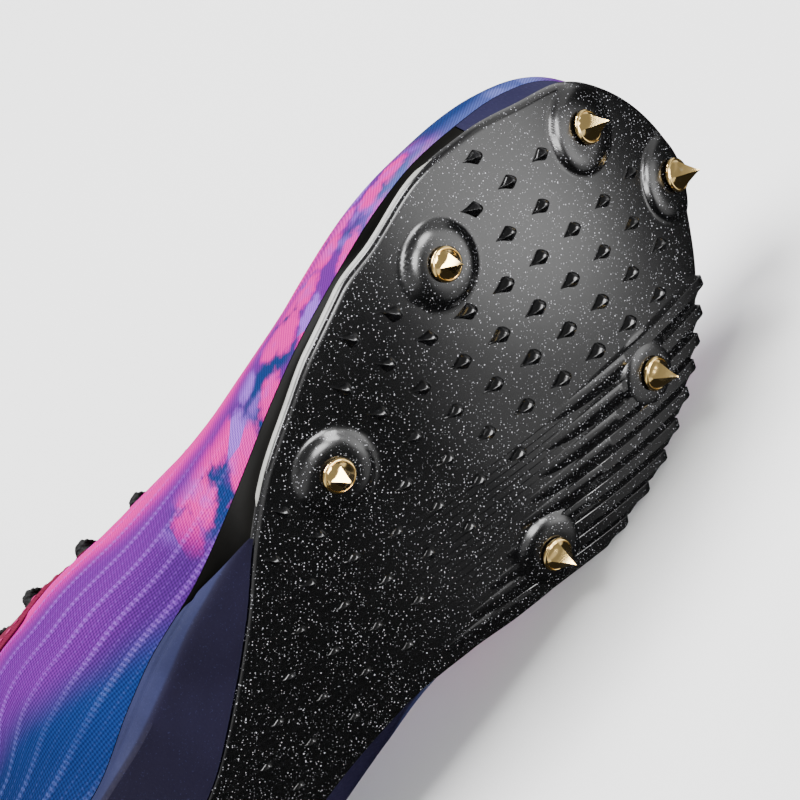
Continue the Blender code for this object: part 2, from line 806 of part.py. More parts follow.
def skin_point(turn, level):
    """Point of the outer skin: level 0 is the sole's edge, level 1 the lip."""
    share, side = around(turn)
    out = outward(turn)
    foot = bite_point(turn)
    lip = lip_point(turn)
    lean = UPPER.at(share, "lean_" + side) * WIDTH
    low = foot + out * lean + Vector((0, 0, UPPER.at(share, "rise") * HEIGHT))
    high = lip + out * (UPPER.at(share, "spread") * WIDTH)
    high.z -= UPPER.at(share, "drop") * HEIGHT
    rest = 1 - level
    return (foot * rest ** 3 + low * (3 * level * rest ** 2)
            + high * (3 * level ** 2 * rest) + lip * level ** 3)


def skin_normal(turn, level):
    step = 0.01
    across = skin_point(turn + step, level) - skin_point(turn - step, level)
    low, high = max(0.0, level - step), min(1.0, level + step)
    up = skin_point(turn, high) - skin_point(turn, low)
    return up.cross(across).normalized()


def skin(turn, level, depth=0.0):
    """Point at a depth under the outer skin; a negative depth lies outside it."""
    return skin_point(turn, level) - skin_normal(turn, level) * depth


def wall_at(turn):
    return UPPER.at(around(turn)[0], "wall") * WIDTH


def turns_between(first, last, count):
    return [first + (last - first) * i / count for i in range(count + 1)]


def make_upper(paint):
    """One hollow skin with a real wall, open at the collar, the throat and underneath."""
    bm = bmesh.new()
    levels = [i / SKIN_LEVELS for i in range(SKIN_LEVELS + 1)]
    columns = []
    for turn in turns_between(-1, 1, 2 * SIDE_STATIONS)[:-1]:
        wall = wall_at(turn)
        points = [skin(turn, level) for level in levels]
        lip = (skin(turn, 1.0) + skin(turn, 1.0, wall)) / 2
        rise = (skin(turn, 1.0) - skin(turn, 0.96)).normalized() * wall * 0.4
        points.append(lip + rise)
        points += [skin(turn, level, wall) for level in reversed(levels)]
        points[-1].z = points[0].z
        columns.append([bm.verts.new(point) for point in points])
    for first, second in zip(columns, columns[1:] + columns[:1]):
        join_rings(bm, first, second)
    return make_object(bm, "upper", paint, 50)


def shell_mesh(columns):
    """Closed strip from columns of (upper, lower) points."""
    bm = bmesh.new()
    built = []
    for tops, bottoms in columns:
        built.append([bm.verts.new(p) for p in tops] + [bm.verts.new(p) for p in reversed(bottoms)])
    for first, second in zip(built, built[1:]):
        join_rings(bm, first, second)
    bm.faces.new(built[0])
    bm.faces.new(built[-1])
    return bm


def make_eyestay(paint):
    """Band round the throat that lies on the upper."""
    columns = []
    for turn in turns_between(-EYESTAY_END, EYESTAY_END, 2 * EYESTAY_STATIONS):
        low = EYESTAY_LOW + EYESTAY_TOE_RISE * max(0.0, 1 - abs(turn) / EYESTAY_TOE_TURN)
        levels = [low + (1.0 - low) * k / EYESTAY_STEPS for k in range(EYESTAY_STEPS + 1)]
        tops = [skin(turn, level, -EYESTAY_GAP - EYESTAY_WALL) for level in levels]
        bottoms = [skin(turn, level, -EYESTAY_GAP) for level in levels]
        columns.append((tops, bottoms))
    return make_object(shell_mesh(columns), "eyestay", paint, 40)


def tongue_row(turn, drop=0.0):
    """Points across the tongue: under one eyestay, over the throat, under the other."""
    settled = ease((turn - TONGUE_START) / TONGUE_SETTLE)
    wall = wall_at(turn) + 2 * GAP + TONGUE_DIP * (1 - settled)
    outer = [skin(turn, level - drop, wall) for level in TONGUE_LEVELS]
    inner = [skin(-turn, level - drop, wall) for level in TONGUE_LEVELS]
    left, right = outer[-1], inner[-1]
    bulge = (right - left).length * TONGUE_RISE * settled
    middle = []
    for k in range(1, TONGUE_COLUMNS):
        share = k / TONGUE_COLUMNS
        point = left.lerp(right, share)
        point.z += bulge * math.sin(math.pi * share)
        middle.append(point)
    return outer + middle + inner[::-1]


def make_tongue(paint):
    """Tongue that fills the throat from under the vamp and the eyestays."""
    rows = [tongue_row(turn) for turn in turns_between(TONGUE_START, TONGUE_END, TONGUE_ROWS)]
    rows.insert(0, tongue_row(TONGUE_START, TONGUE_UNDER_VAMP))
    middle = len(rows[0]) // 2
    run = (rows[-1][middle] - rows[-2][middle]).normalized() * TONGUE_TOP
    last = rows[-1]
    lower = Vector((0, 0, -TONGUE_DIP))
    for share, narrow in TONGUE_TIP:
        row = []
        for k, point in enumerate(last):
            edge = abs(2 * k / (len(last) - 1) - 1)
            row.append(point.lerp(last[middle], narrow * edge) + run * share + lower * (1 - share))
        rows.append(row)
    columns = []
    for i, row in enumerate(rows):
        before, after = rows[max(0, i - 1)], rows[min(len(rows) - 1, i + 1)]
        columns.append((row, drawn_in(row, after[middle] - before[middle])))
    return make_object(shell_mesh(columns), "tongue", paint, 50)


def drawn_in(row, along):
    """The same row lowered by the tongue's wall, square to the row and to its run."""
    count = len(row)
    lowered = []
    for k, point in enumerate(row):
        run = row[min(count - 1, k + 1)] - row[max(0, k - 1)]
        lowered.append(point - run.cross(along).normalized() * TONGUE_WALL)
    return lowered


def lace_stops(start, stop, layer):
    """Places and outward directions along one lace, from one side's eyelet to the other's."""
    lift = EYESTAY_GAP + EYESTAY_WALL + GAP + LACE_WALL * (0.5 + layer * LACE_LAYER)
    stops = []
    for share, level in LACE_OVER_EDGE:
        turn = start + (stop - start) * share
        stops.append((skin(turn, level, -lift), skin_normal(turn, level)))
    across = []
    for share, level in reversed(LACE_OVER_EDGE):
        turn = -(stop + (start - stop) * share)
        across.append((skin(turn, level, -lift), skin_normal(turn, level)))
    middle = (stops[-1][0] + across[0][0]) / 2
    up = (stops[-1][1] + across[0][1]).normalized()
    return stops + [(middle + up * LACE_ARCH, up)] + across


def lace_mesh(start, stop, layer):
    """Flat lace that crosses the throat from an eyelet to the next pair's other eyelet."""
    bm = bmesh.new()
    stops = lace_stops(start, stop, layer)
    rings = []
    for i, (place, up) in enumerate(stops):
        run = stops[min(len(stops) - 1, i + 1)][0] - stops[max(0, i - 1)][0]
        side = run.cross(up).normalized()
        ring = [
            place + side * (a * LACE_WIDTH / 2) + up * (b * LACE_WALL / 2)
            for a, b in LACE_SECTION
        ]
        rings.append([bm.verts.new(point) for point in ring])
    for first, second in zip(rings, rings[1:]):
        join_rings(bm, first, second)
    bm.faces.new(rings[0])
    bm.faces.new(rings[-1])
    return bm


def make_laces(paint):
    """Crossed laces over the throat, joined where they meet."""
    first = EYELET_TURNS[0]
    laces = make_object(lace_mesh(first, first, 0.5), "laces", paint, 40)
    for lower, upper in zip(EYELET_TURNS, EYELET_TURNS[1:]):
        for bar in ((lower, upper, 0), (upper, lower, 1)):
            apply_boolean(laces, make_guide(lace_mesh(*bar), "lace"), "UNION")
    return laces


# Laying the shoe down

def world_points(things):
    return [thing.matrix_world @ vert.co for thing in things for vert in thing.data.vertices]


def centre_of_mass(things):
    total = 0.0
    moment = Vector((0, 0, 0))
    for thing in things:
        bm = bmesh.new()
        bm.from_mesh(thing.data)
        bmesh.ops.transform(bm, matrix=thing.matrix_world, verts=bm.verts)
        bmesh.ops.triangulate(bm, faces=bm.faces)
        for face in bm.faces:
            a, b, c = (vert.co for vert in face.verts)
            volume = a.dot(b.cross(c)) / 6
            total += volume
            moment += (a + b + c) * (volume / 4)
        bm.free()
    return moment / total


def holds(face, point):
    """Whether a point lies over a face, looking along the face's normal."""
    corners = [vert.co for vert in face.verts]
    for a, b in zip(corners, corners[1:] + corners[:1]):
        if (b - a).cross(point - a).dot(face.normal) < 0:
            return False
    return True


def lying_turn(things):
    """Turn that puts the shoe on the inner-side facet of its hull under its mass."""
    bm = bmesh.new()
    for point in world_points(things):
        bm.verts.new(point)
    hull = bmesh.ops.convex_hull(bm, input=bm.verts)
    bmesh.ops.recalc_face_normals(bm, faces=[f for f in hull["geom"] if isinstance(f, bmesh.types.BMFace)])
    bm.normal_update()
    centre = centre_of_mass(things)
    under = [face for face in bm.faces if face.normal.y > 0.5 and holds(face, centre)]
    rest = max(under, key=lambda face: face.normal.y)
    down = rest.normal.copy()
    bm.free()
    forward = Vector((1, 0, 0))
    forward = (forward - down * forward.dot(down)).normalized()
    up = -down
    side = up.cross(forward)
    return Matrix((forward, side, up)).to_4x4()


def lay_down(things):
    turn = lying_turn(things)
    points = [turn @ point for point in world_points(things)]
    low = Vector([min(p[i] for p in points) for i in range(3)])
    high = Vector([max(p[i] for p in points) for i in range(3)])
    shift = Vector((-(low.x + high.x) / 2, -(low.y + high.y) / 2, -low.z))
    holder = bpy.data.objects.new("shoe", None)
    bpy.context.scene.collection.objects.link(holder)
    holder.matrix_world = Matrix.Translation(shift) @ turn
    for thing in things:
        thing.parent = holder
    return holder


def main():
    for thing in list(bpy.data.objects):
        bpy.data.objects.remove(thing)
    black = material("black_plate", (0.012, 0.012, 0.014), 0.25)
    gold = material("gold_spike", (0.85, 0.62, 0.28), 0.2, 1.0)
    band = material("black_side", (0.01, 0.01, 0.01), 0.35)
    navy = material("navy_foam", (0.05, 0.05, 0.14), 0.6)
    knit = material("knit_upper", (0.42, 0.12, 0.52), 0.75)
    crimson = material("crimson_eyestay", (0.45, 0.02, 0.12), 0.6)
    pink = material("pink_tongue", (0.75, 0.08, 0.30), 0.8)
    grey = material("grey_insole", (0.08, 0.08, 0.09), 0.9)
    cord = material("black_lace", (0.01, 0.01, 0.01), 0.9)

    toe_line = LENGTH * TOE_FOAM_START
    toe_ahead = slanted_guide("toe_ahead", toe_line + GAP, toe_line + GAP, 0.0, HEIGHT, True)
    toe_behind = slanted_guide("toe_behind", toe_line, toe_line, 0.0, HEIGHT, False)
    things = [
        make_plate(black),
        make_forefoot("forefoot_unit", band, wedge_guide("unit_start", 0.0, True), toe_behind),
        make_forefoot("toe_foam", navy, toe_ahead, None),
        make_foam(navy),
        make_insole(grey),
        make_upper(knit),
        make_eyestay(crimson),
        make_tongue(pink),
        make_laces(cord),
    ]
    things += [make_spike(name, share, gold) for name, share in SPIKES.items()]
    bpy.context.view_layer.update()
    lay_down(things)
    bpy.context.view_layer.update()


main()
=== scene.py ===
# Track spike shoe: the looks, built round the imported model.
# Pieces are shaped in the shoe's own axes (X to the toe, Y to the inner side, Z up
# through the foot) and then laid on their side as the solids are.
import functools
import math

import bmesh
import bpy
from mathutils import Matrix, Vector


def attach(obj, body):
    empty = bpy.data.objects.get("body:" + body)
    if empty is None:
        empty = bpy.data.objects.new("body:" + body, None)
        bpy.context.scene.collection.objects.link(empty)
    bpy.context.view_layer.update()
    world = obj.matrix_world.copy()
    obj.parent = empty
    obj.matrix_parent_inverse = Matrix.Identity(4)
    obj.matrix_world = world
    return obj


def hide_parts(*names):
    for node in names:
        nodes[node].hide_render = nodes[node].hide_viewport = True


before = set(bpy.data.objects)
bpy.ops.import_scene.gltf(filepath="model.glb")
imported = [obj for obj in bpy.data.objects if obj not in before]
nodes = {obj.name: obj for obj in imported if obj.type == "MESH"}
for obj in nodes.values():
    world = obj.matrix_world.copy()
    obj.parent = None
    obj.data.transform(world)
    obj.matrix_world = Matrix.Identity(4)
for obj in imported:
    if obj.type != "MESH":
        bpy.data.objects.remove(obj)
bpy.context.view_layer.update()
print("frame loaded with", len(nodes), "nodes")

mm = 0.001

# Sizes that the shoe's pieces share, in metres and in shares of them
shoe = {
    "length": 0.280, "width": 0.100, "height": 0.100,
    "toeSpring": 0.027, "toeTakeoff": 0.672,
    "archTakeoff": 0.600, "archRadius": 0.401,
    "heelLevel": 0.004, "heelReach": 0.393, "heelBlend": 0.214,
    "heelBevel": 0.009, "heelBevelStart": 0.09,
    "crownRadius": 0.248,
    "gap": 0.0003,
}

# How the finished shoe lies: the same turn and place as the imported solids
lie = Matrix((
    (0.986485, 0.163393, -0.012287, -0.138314),
    (0.0, 0.07499, 0.997184, -0.043675),
    (0.163854, -0.983707, 0.073976, 0.021222),
    (0.0, 0.0, 0.0, 1.0),
))


class Table:
    def __init__(self, columns, rows, rounded=True):
        self.columns = {name: [row[i] for row in rows] for i, name in enumerate(columns)}
        self.rounded = rounded
        self.keys = [self.place(value) for value in self.columns[columns[0]]]

    def place(self, along):  # rounded tables bunch their rows at both ends
        if not self.rounded:
            return along
        return math.acos(max(-1.0, min(1.0, 1 - 2 * along))) / math.pi

    def at(self, along, name):
        return smoothCurve(self.keys, self.columns[name], self.place(along))


def smoothCurve(keys, values, key):  # cubic that never overshoots a row
    key = max(keys[0], min(keys[-1], key))
    slopes = [(values[i + 1] - values[i]) / (keys[i + 1] - keys[i]) for i in range(len(keys) - 1)]
    tangents = [slopes[0]]
    for before, after in zip(slopes, slopes[1:]):
        tangents.append(2 * before * after / (before + after) if before * after > 0 else 0.0)
    tangents.append(slopes[-1])
    i = 0
    while i < len(keys) - 2 and keys[i + 1] < key:
        i += 1
    span = keys[i + 1] - keys[i]
    t = (key - keys[i]) / span
    return (values[i] * (1 + 2 * t) * (1 - t) ** 2 + tangents[i] * span * t * (1 - t) ** 2
            + values[i + 1] * t * t * (3 - 2 * t) - tangents[i + 1] * span * t * t * (1 - t))


def ease(share):
    share = max(0.0, min(1.0, share))
    return share * share * (3 - 2 * share)


def shares(count):
    return [k / count for k in range(count + 1)]


def angles(count):
    return [2 * math.pi * k / count for k in range(count)]


def onSole(along, across):  # shares of the length and the width, in metres
    return along * shoe["length"], across * shoe["width"]


def sidesAt(table, along):  # outer and inner side of an outline, in metres
    return table.at(along, "outer") * shoe["width"], table.at(along, "inner") * shoe["width"]


plateTable = Table(("along", "outer", "inner"), (
    (0.000, 0.050, 0.050), (0.030, -0.040, 0.140), (0.130, -0.090, 0.185),
    (0.200, -0.146, 0.195), (0.300, -0.243, 0.235), (0.390, -0.340, 0.322),
    (0.450, -0.387, 0.402), (0.515, -0.414, 0.473), (0.580, -0.435, 0.512),
    (0.650, -0.438, 0.536), (0.710, -0.412, 0.548), (0.780, -0.385, 0.538),
    (0.868, -0.285, 0.481), (0.931, -0.165, 0.397), (0.980, -0.047, 0.313),
    (1.000, 0.140, 0.140),
))

# Edge where the upper meets the sole
biteTable = Table(("along", "outer", "inner", "rise"), (
    (0.000, -0.010, -0.010, 0.290), (0.035, -0.190, 0.185, 0.275),
    (0.110, -0.275, 0.275, 0.250), (0.214, -0.262, 0.288, 0.225),
    (0.314, -0.252, 0.290, 0.200), (0.393, -0.302, 0.298, 0.175),
    (0.441, -0.331, 0.310, 0.150), (0.502, -0.342, 0.330, 0.125),
    (0.552, -0.360, 0.365, 0.120), (0.603, -0.384, 0.425, 0.118),
    (0.642, -0.405, 0.465, 0.114), (0.696, -0.426, 0.505, 0.107),
    (0.730, -0.430, 0.518, 0.106), (0.789, -0.420, 0.520, 0.117),
    (0.847, -0.378, 0.490, 0.153), (0.909, -0.275, 0.435, 0.215),
    (0.950, -0.180, 0.360, 0.262), (0.982, -0.050, 0.270, 0.303),
    (0.996, 0.135, 0.135, 0.320),
))

# Lower edge of the foam
foamTable = Table(("along", "outer", "inner", "lift", "level"), (
    (0.000, -0.005, -0.005, 0.030, 0.60), (0.030, -0.165, 0.160, 0.050, 0.62),
    (0.095, -0.265, 0.262, 0.050, 0.66), (0.175, -0.285, 0.285, 0.050, 0.60),
    (0.260, -0.270, 0.280, 0.052, 0.45), (0.357, -0.268, 0.272, 0.056, 0.34),
    (0.425, -0.293, 0.275, 0.060, 0.42), (0.464, -0.315, 0.280, 0.060, 0.60),
    (0.507, -0.328, 0.294, 0.050, 0.80), (0.550, -0.345, 0.335, 0.025, 0.92),
    (0.600, -0.385, 0.420, 0.010, 0.95),
))

# Upper from the toe (0) round to the heel (1)
upperTable = Table(
    ("turn", "foot", "lip", "lip_outer", "lip_inner", "lip_rise",
     "lean_outer", "lean_inner", "rise", "spread", "drop", "wall"),
    (
        (0.00, 0.996, 0.664, 0.030, 0.030, 0.540, 0.046, 0.046, 0.150, 0.500, 0.100, 0.014),
        (0.07, 0.957, 0.661, -0.015, 0.075, 0.543, 0.038, 0.025, 0.162, 0.405, 0.095, 0.014),
        (0.15, 0.875, 0.654, -0.055, 0.115, 0.550, 0.015, 0.020, 0.163, 0.300, 0.095, 0.014),
        (0.24, 0.768, 0.628, -0.095, 0.150, 0.560, -0.008, 0.005, 0.160, 0.215, 0.095, 0.014),
        (0.33, 0.661, 0.589, -0.120, 0.165, 0.595, 0.008, 0.010, 0.193, 0.200, 0.105, 0.014),
        (0.41, 0.571, 0.536, -0.145, 0.175, 0.655, 0.051, 0.020, 0.240, 0.217, 0.110, 0.014),
        (0.49, 0.493, 0.471, -0.172, 0.180, 0.730, 0.093, 0.020, 0.279, 0.227, 0.130, 0.014),
        (0.57, 0.421, 0.411, -0.195, 0.190, 0.805, 0.125, 0.030, 0.312, 0.209, 0.130, 0.014),
        (0.65, 0.350, 0.350, -0.222, 0.205, 0.865, 0.150, 0.050, 0.342, 0.179, 0.155, 0.016),
        (0.72, 0.279, 0.290, -0.275, 0.260, 0.745, 0.090, 0.050, 0.300, 0.060, 0.200, 0.022),
        (0.80, 0.196, 0.207, -0.300, 0.280, 0.630, 0.060, 0.040, 0.180, 0.050, 0.140, 0.028),
        (0.88, 0.107, 0.121, -0.270, 0.250, 0.665, 0.050, 0.040, 0.180, 0.060, 0.160, 0.030),
        (0.95, 0.036, 0.052, -0.170, 0.160, 0.775, 0.040, 0.040, 0.200, 0.060, 0.200, 0.030),
        (1.00, 0.000, 0.025, 0.000, 0.000, 0.840, 0.040, 0.040, 0.200, 0.060, 0.200, 0.030),
    ),
    rounded=False,
)

spikePlaces = {
    "spike_toe_outer": (0.957, 0.004), "spike_toe_inner": (0.966, 0.305),
    "spike_middle_outer": (0.805, -0.245), "spike_middle_inner": (0.819, 0.415),
    "spike_rear_outer": (0.626, -0.246), "spike_rear_inner": (0.656, 0.377),
}


# Surfaces of the sole

def arcRise(distance, radius):
    return radius - math.sqrt(max(0.0, radius * radius - distance * distance))


def flatHeel(x):
    return ease((shoe["length"] * shoe["heelReach"] - x) / (shoe["length"] * shoe["heelBlend"]))


def keel(x):
    toeRun = shoe["length"] * (1 - shoe["toeTakeoff"])
    toeRadius = (toeRun ** 2 + shoe["toeSpring"] ** 2) / (2 * shoe["toeSpring"])
    ahead = x - shoe["length"] * shoe["toeTakeoff"]
    if ahead > 0:
        return arcRise(min(ahead, toeRadius * 0.95), toeRadius)
    behind = shoe["length"] * shoe["archTakeoff"] - x
    if behind <= 0:
        return 0.0
    arch = arcRise(behind, shoe["archRadius"])
    start = shoe["length"] * shoe["heelBevelStart"]
    bevel = shoe["heelBevel"] * (max(0.0, start - x) / start) ** 2
    return arch + (shoe["heelLevel"] - arch) * flatHeel(x) + bevel


def crownRise(y):
    return arcRise(y, shoe["crownRadius"])


def plateBottom(x, y):
    return keel(x) + crownRise(y)


def plateTop(x, y):
    return plateBottom(x, y) + plateParts["wall"]


def foamBottom(x, y):
    along = x / shoe["length"]
    outer, inner = sidesAt(foamTable, along)
    half = max(mm, (inner - outer) / 2)
    level = foamTable.at(along, "level")
    share = max(0.0, min(1.0, (abs(y - (outer + inner) / 2) / half - level) / (1 - level)))
    crown = crownRise(y) * (1 - flatHeel(x))
    lift = foamTable.at(along, "lift") * shoe["height"]
    return keel(x) + crown + (lift - crown) * share ** 1.4


def biteOver(point, side):  # the upper's edge beside a point of the sole
    return Vector((point.x, biteTable.at(point.x / shoe["length"], side) * shoe["width"]))


def soleTop(x, y):
    along = x / shoe["length"]
    edge = biteTable.at(along, "outer") * shoe["width"]
    crown = crownRise(y) - crownRise(edge)
    return biteTable.at(along, "rise") * shoe["height"] + crown * (1 - flatHeel(x))


def surfaceFrame(x, y):  # Z points out of the sole, X to the toe
    slopeX = (plateBottom(x + mm, y) - plateBottom(x - mm, y)) / (2 * mm)
    slopeY = (plateBottom(x, y + mm) - plateBottom(x, y - mm)) / (2 * mm)
    out = Vector((slopeX, slopeY, -1)).normalized()
    forward = Vector((1, 0, slopeX)).normalized()
    turn = Matrix((forward, out.cross(forward), out)).transposed().to_4x4()
    return Matrix.Translation((x, y, plateBottom(x, y))) @ turn


# Skin of the upper

def around(turn):
    turn = (turn + 1) % 2 - 1
    return abs(turn), ("outer" if turn >= 0 else "inner")


def bitePoint(turn):
    share, side = around(turn)
    along = upperTable.at(share, "foot")
    y = biteTable.at(along, side) * shoe["width"]
    x = along * shoe["length"]
    return Vector((x, y, soleTop(x, y) + shoe["gap"]))


@functools.lru_cache(maxsize=20000)
def skinStation(turn):
    share, side = around(turn)
    step = 0.012
    run = bitePoint(turn + step) - bitePoint(turn - step)
    out = Vector((-run.y, run.x, 0)).normalized()
    foot = bitePoint(turn)
    lip = Vector((
        upperTable.at(share, "lip") * shoe["length"],
        upperTable.at(share, "lip_" + side) * shoe["width"],
        upperTable.at(share, "lip_rise") * shoe["height"],
    ))
    low = foot + out * (upperTable.at(share, "lean_" + side) * shoe["width"])
    low.z += upperTable.at(share, "rise") * shoe["height"]
    high = lip + out * (upperTable.at(share, "spread") * shoe["width"])
    high.z -= upperTable.at(share, "drop") * shoe["height"]
    return foot, low, high, lip


def skinPoint(turn, level):  # turn from the toe (0) to the heel (1, or -1 on the inner side)
    foot, low, high, lip = skinStation(round(turn, 6))
    rest = 1 - level
    return (foot * rest ** 3 + low * (3 * level * rest ** 2)
            + high * (3 * level ** 2 * rest) + lip * level ** 3)


def skinNormal(turn, level):
    step = 0.01
    across = skinPoint(turn + step, level) - skinPoint(turn - step, level)
    up = skinPoint(turn, min(1.0, level + step)) - skinPoint(turn, max(0.0, level - step))
    return up.cross(across).normalized()


def skin(turn, level, depth=0.0):  # a negative depth lies outside the upper
    return skinPoint(turn, level) - skinNormal(turn, level) * depth


def wallAt(turn):
    return upperTable.at(around(turn)[0], "wall") * shoe["width"]


# Mesh tools

def loft(rows, uvAt=lambda along, across: (along, across)):  # a tube through rows of points
    stations, count = len(rows) - 1, len(rows[0])
    bm = bmesh.new()
    bmesh.ops.create_grid(bm, x_segments=stations, y_segments=count, size=1.0)
    uvLayer = bm.loops.layers.uv.new("UVMap")
    spots = {vert: (round((vert.co.x + 1) / 2 * stations), round((vert.co.y + 1) / 2 * count))
             for vert in bm.verts}
    for face in bm.faces:
        for loop in face.loops:
            i, k = spots[loop.vert]
            loop[uvLayer].uv = uvAt(i / stations, k / count)
    for vert, (i, k) in spots.items():
        vert.co = rows[i][k % count]
    bmesh.ops.remove_doubles(bm, verts=bm.verts, dist=1e-6)
    return bm


def closedLoft(rows):
    bm = loft(rows)
    edges = [edge for edge in bm.edges if edge.is_boundary]
    if edges:
        bmesh.ops.holes_fill(bm, edges=edges, sides=0)
    return bm


def ring(centre, first, second, count):
    return [centre + first * math.cos(angle) + second * math.sin(angle) for angle in angles(count)]


def facedOut(bm):
    bmesh.ops.recalc_face_normals(bm, faces=bm.faces)
    return bm


def addShape(target, source, place=Matrix()):  # joins one bmesh into another
    bmesh.ops.transform(source, matrix=place, verts=source.verts)
    passing = bpy.data.meshes.new("passing")
    source.to_mesh(passing)
    source.free()
    target.from_mesh(passing)
    bpy.data.meshes.remove(passing)


def addObject(name, data):
    made = bpy.data.objects.new(name, data)
    bpy.context.scene.collection.objects.link(made)
    return made


def addMesh(name, bm):
    mesh = bpy.data.meshes.new(name)
    bm.to_mesh(mesh)
    bm.free()
    return addObject(name, mesh)


def smooth(piece, sharpAngle):
    piece.data.shade_smooth()
    piece.data.set_sharp_from_angle(angle=math.radians(sharpAngle))


def finishPiece(bm, name, paints, replaced=(), sharpAngle=60):
    bmesh.ops.transform(bm, matrix=lie, verts=bm.verts)
    for vert in bm.verts:  # soft edges rest flat on the floor
        vert.co.z = max(vert.co.z, 0.0)
    piece = addMesh(name, bm)
    smooth(piece, sharpAngle)
    for paint in paints:
        piece.data.materials.append(paint.made)
    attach(piece, "root")
    if replaced:
        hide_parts(*replaced)
    print("made", name, "with", len(piece.data.polygons), "faces")
    return piece


def cutOut(piece, cutter):
    modifier = piece.modifiers.new("cut", "BOOLEAN")
    modifier.operation = "DIFFERENCE"
    modifier.object = cutter
    bpy.context.view_layer.update()
    made = bpy.data.meshes.new_from_object(piece.evaluated_get(bpy.context.evaluated_depsgraph_get()))
    piece.modifiers.clear()
    piece.data = made
    bpy.data.objects.remove(cutter)


# Shader tools

class Value:
    def __init__(self, paint, socket):
        self.paint = paint
        self.socket = socket

    def __add__(self, other):
        return self.paint.math("ADD", self, other)

    def __sub__(self, other):
        return self.paint.math("SUBTRACT", self, other)

    def __rsub__(self, other):
        return self.paint.math("SUBTRACT", other, self)

    def __mul__(self, other):
        return self.paint.math("MULTIPLY", self, other)

    __radd__ = __add__
    __rmul__ = __mul__


class Graph:  # node work shared by the finishes and the backdrop
    def __init__(self, tree):
        self.tree = tree
        self.nodes = tree.nodes

    def feed(self, socket, value):
        if isinstance(value, Value):
            self.tree.links.new(value.socket, socket)
        elif isinstance(value, tuple) and len(value) == 3 and socket.type == "RGBA":
            socket.default_value = (*value, 1)
        else:
            socket.default_value = value

    def node(self, kind, settings=None, sockets=None, out=0):
        made = self.nodes.new("ShaderNode" + kind)
        for key, value in (settings or {}).items():
            if key == "stops":
                self.fillRamp(made.color_ramp.elements, value)
            else:
                setattr(made, key, value)
        for key, value in (sockets or {}).items():
            self.feed(made.inputs[key], value)
        return Value(self, made.outputs[out])

    def fillRamp(self, elements, stops):
        while len(elements) < len(stops):
            elements.new(0.5)
        for element, (place, colour) in zip(elements, stops):
            element.position = place
            element.color = (*colour, 1)

    def math(self, operation, *values):
        return self.node("Math", {"operation": operation}, dict(enumerate(values)))

    def mix(self, share, first, second, blend="MIX"):
        return self.node("Mix", {"data_type": "RGBA", "blend_type": blend},
                         {0: share, 6: first, 7: second}, out=2)

    def step(self, value, low, high):  # 0 below low, 1 above high
        return self.node("MapRange", {"interpolation_type": "SMOOTHSTEP"},
                         {"Value": value, "From Min": low, "From Max": high})

    def layers(self, colour, *coats):  # each coat is a share and its colour
        for share, coat in coats:
            colour = self.mix(share, colour, coat)
        return colour

    def part(self, vector, axis):
        return self.node("SeparateXYZ", {}, {0: vector}, out=axis)


class Paint(Graph):
    def __init__(self, name, **fixed):
        self.made = bpy.data.materials.new(name)
        self.made.use_nodes = True
        super().__init__(self.made.node_tree)
        self.shader = self.nodes["Principled BSDF"]
        self.give(**fixed)

    def give(self, **sockets):  # base_color feeds "Base Color"
        for key, value in sockets.items():
            socket = key.replace("_", " ").title().replace("Ior", "IOR")
            self.feed(self.shader.inputs[socket], value)

    def coat(self, share, first, second, roughness):
        self.give(base_color=self.mix(share, first, second), roughness=roughness)

    def place(self, stretch=(1, 1, 1), turn=(0, 0, 0)):
        start = self.node("TexCoord", out="Object")
        return self.node("Mapping", {}, {"Vector": start, "Scale": stretch, "Rotation": turn})

    def noise(self, scale, detail=3.0, vector=None):
        return self.node("TexNoise", {}, {"Vector": vector or self.place(), "Scale": scale,
                                          "Detail": detail, "Roughness": 0.5})

    def blotches(self, scale, detail, low, high):
        return self.step(self.noise(scale, detail), low, high)

    def cells(self, scale, vector=None, out="Distance", feature="F1"):
        return self.node("TexVoronoi", {"feature": feature},
                         {"Vector": vector or self.place(), "Scale": scale}, out=out)

    def bump(self, height, distance, strength=1.0):
        made = self.node("Bump", {}, {"Height": height, "Distance": distance, "Strength": strength})
        self.give(normal=made)


# Finishes

def flecks(paint, scale, cover):  # silver dots, each of its own brightness
    where = paint.place(turn=(0.7, 0.4, 0.5))
    tint = paint.cells(scale, where, "Color")
    size = paint.part(tint, 0)
    shown = 1 - paint.step(paint.part(tint, 1), cover - 0.02, cover + 0.02)
    reach = 0.13 + size * 0.11
    dot = 1 - paint.step(paint.cells(scale, where) - reach, -0.04, 0.04)
    return dot * shown * (0.25 + paint.part(tint, 2) * 0.75)


def plateFinish():
    paint = Paint("plateBlack", coat_weight=0.4, coat_roughness=0.10)
    cover = paint.math("MAXIMUM", flecks(paint, 1600.0, 0.40), flecks(paint, 2400.0, 0.30) * 0.6)
    cloud = paint.blotches(60.0, 2.0, 0.25, 0.75)
    cover = paint.math("MINIMUM", cover * (0.75 + cloud * 0.45), 1.0)
    paint.coat(cover, (0.0014, 0.0014, 0.0016), (0.50, 0.50, 0.54),
               0.19 + paint.noise(220.0, 2.0) * 0.07 + cover * 0.25)
    paint.bump(paint.noise(900.0, 3.0) * 0.6 + cover * 0.4, 0.00002, 0.5)
    return paint


def toothFinish():
    paint = Paint("toothBlack", specular_ior_level=0.35, coat_weight=0.3, coat_roughness=0.05)
    worn = paint.blotches(700.0, 4.0, 0.52, 0.75)
    paint.coat(worn, (0.0012, 0.0012, 0.0014), (0.006, 0.006, 0.007), 0.16 + worn * 0.14)
    paint.bump(paint.noise(1200.0, 3.0), 0.00003, 0.5)
    return paint


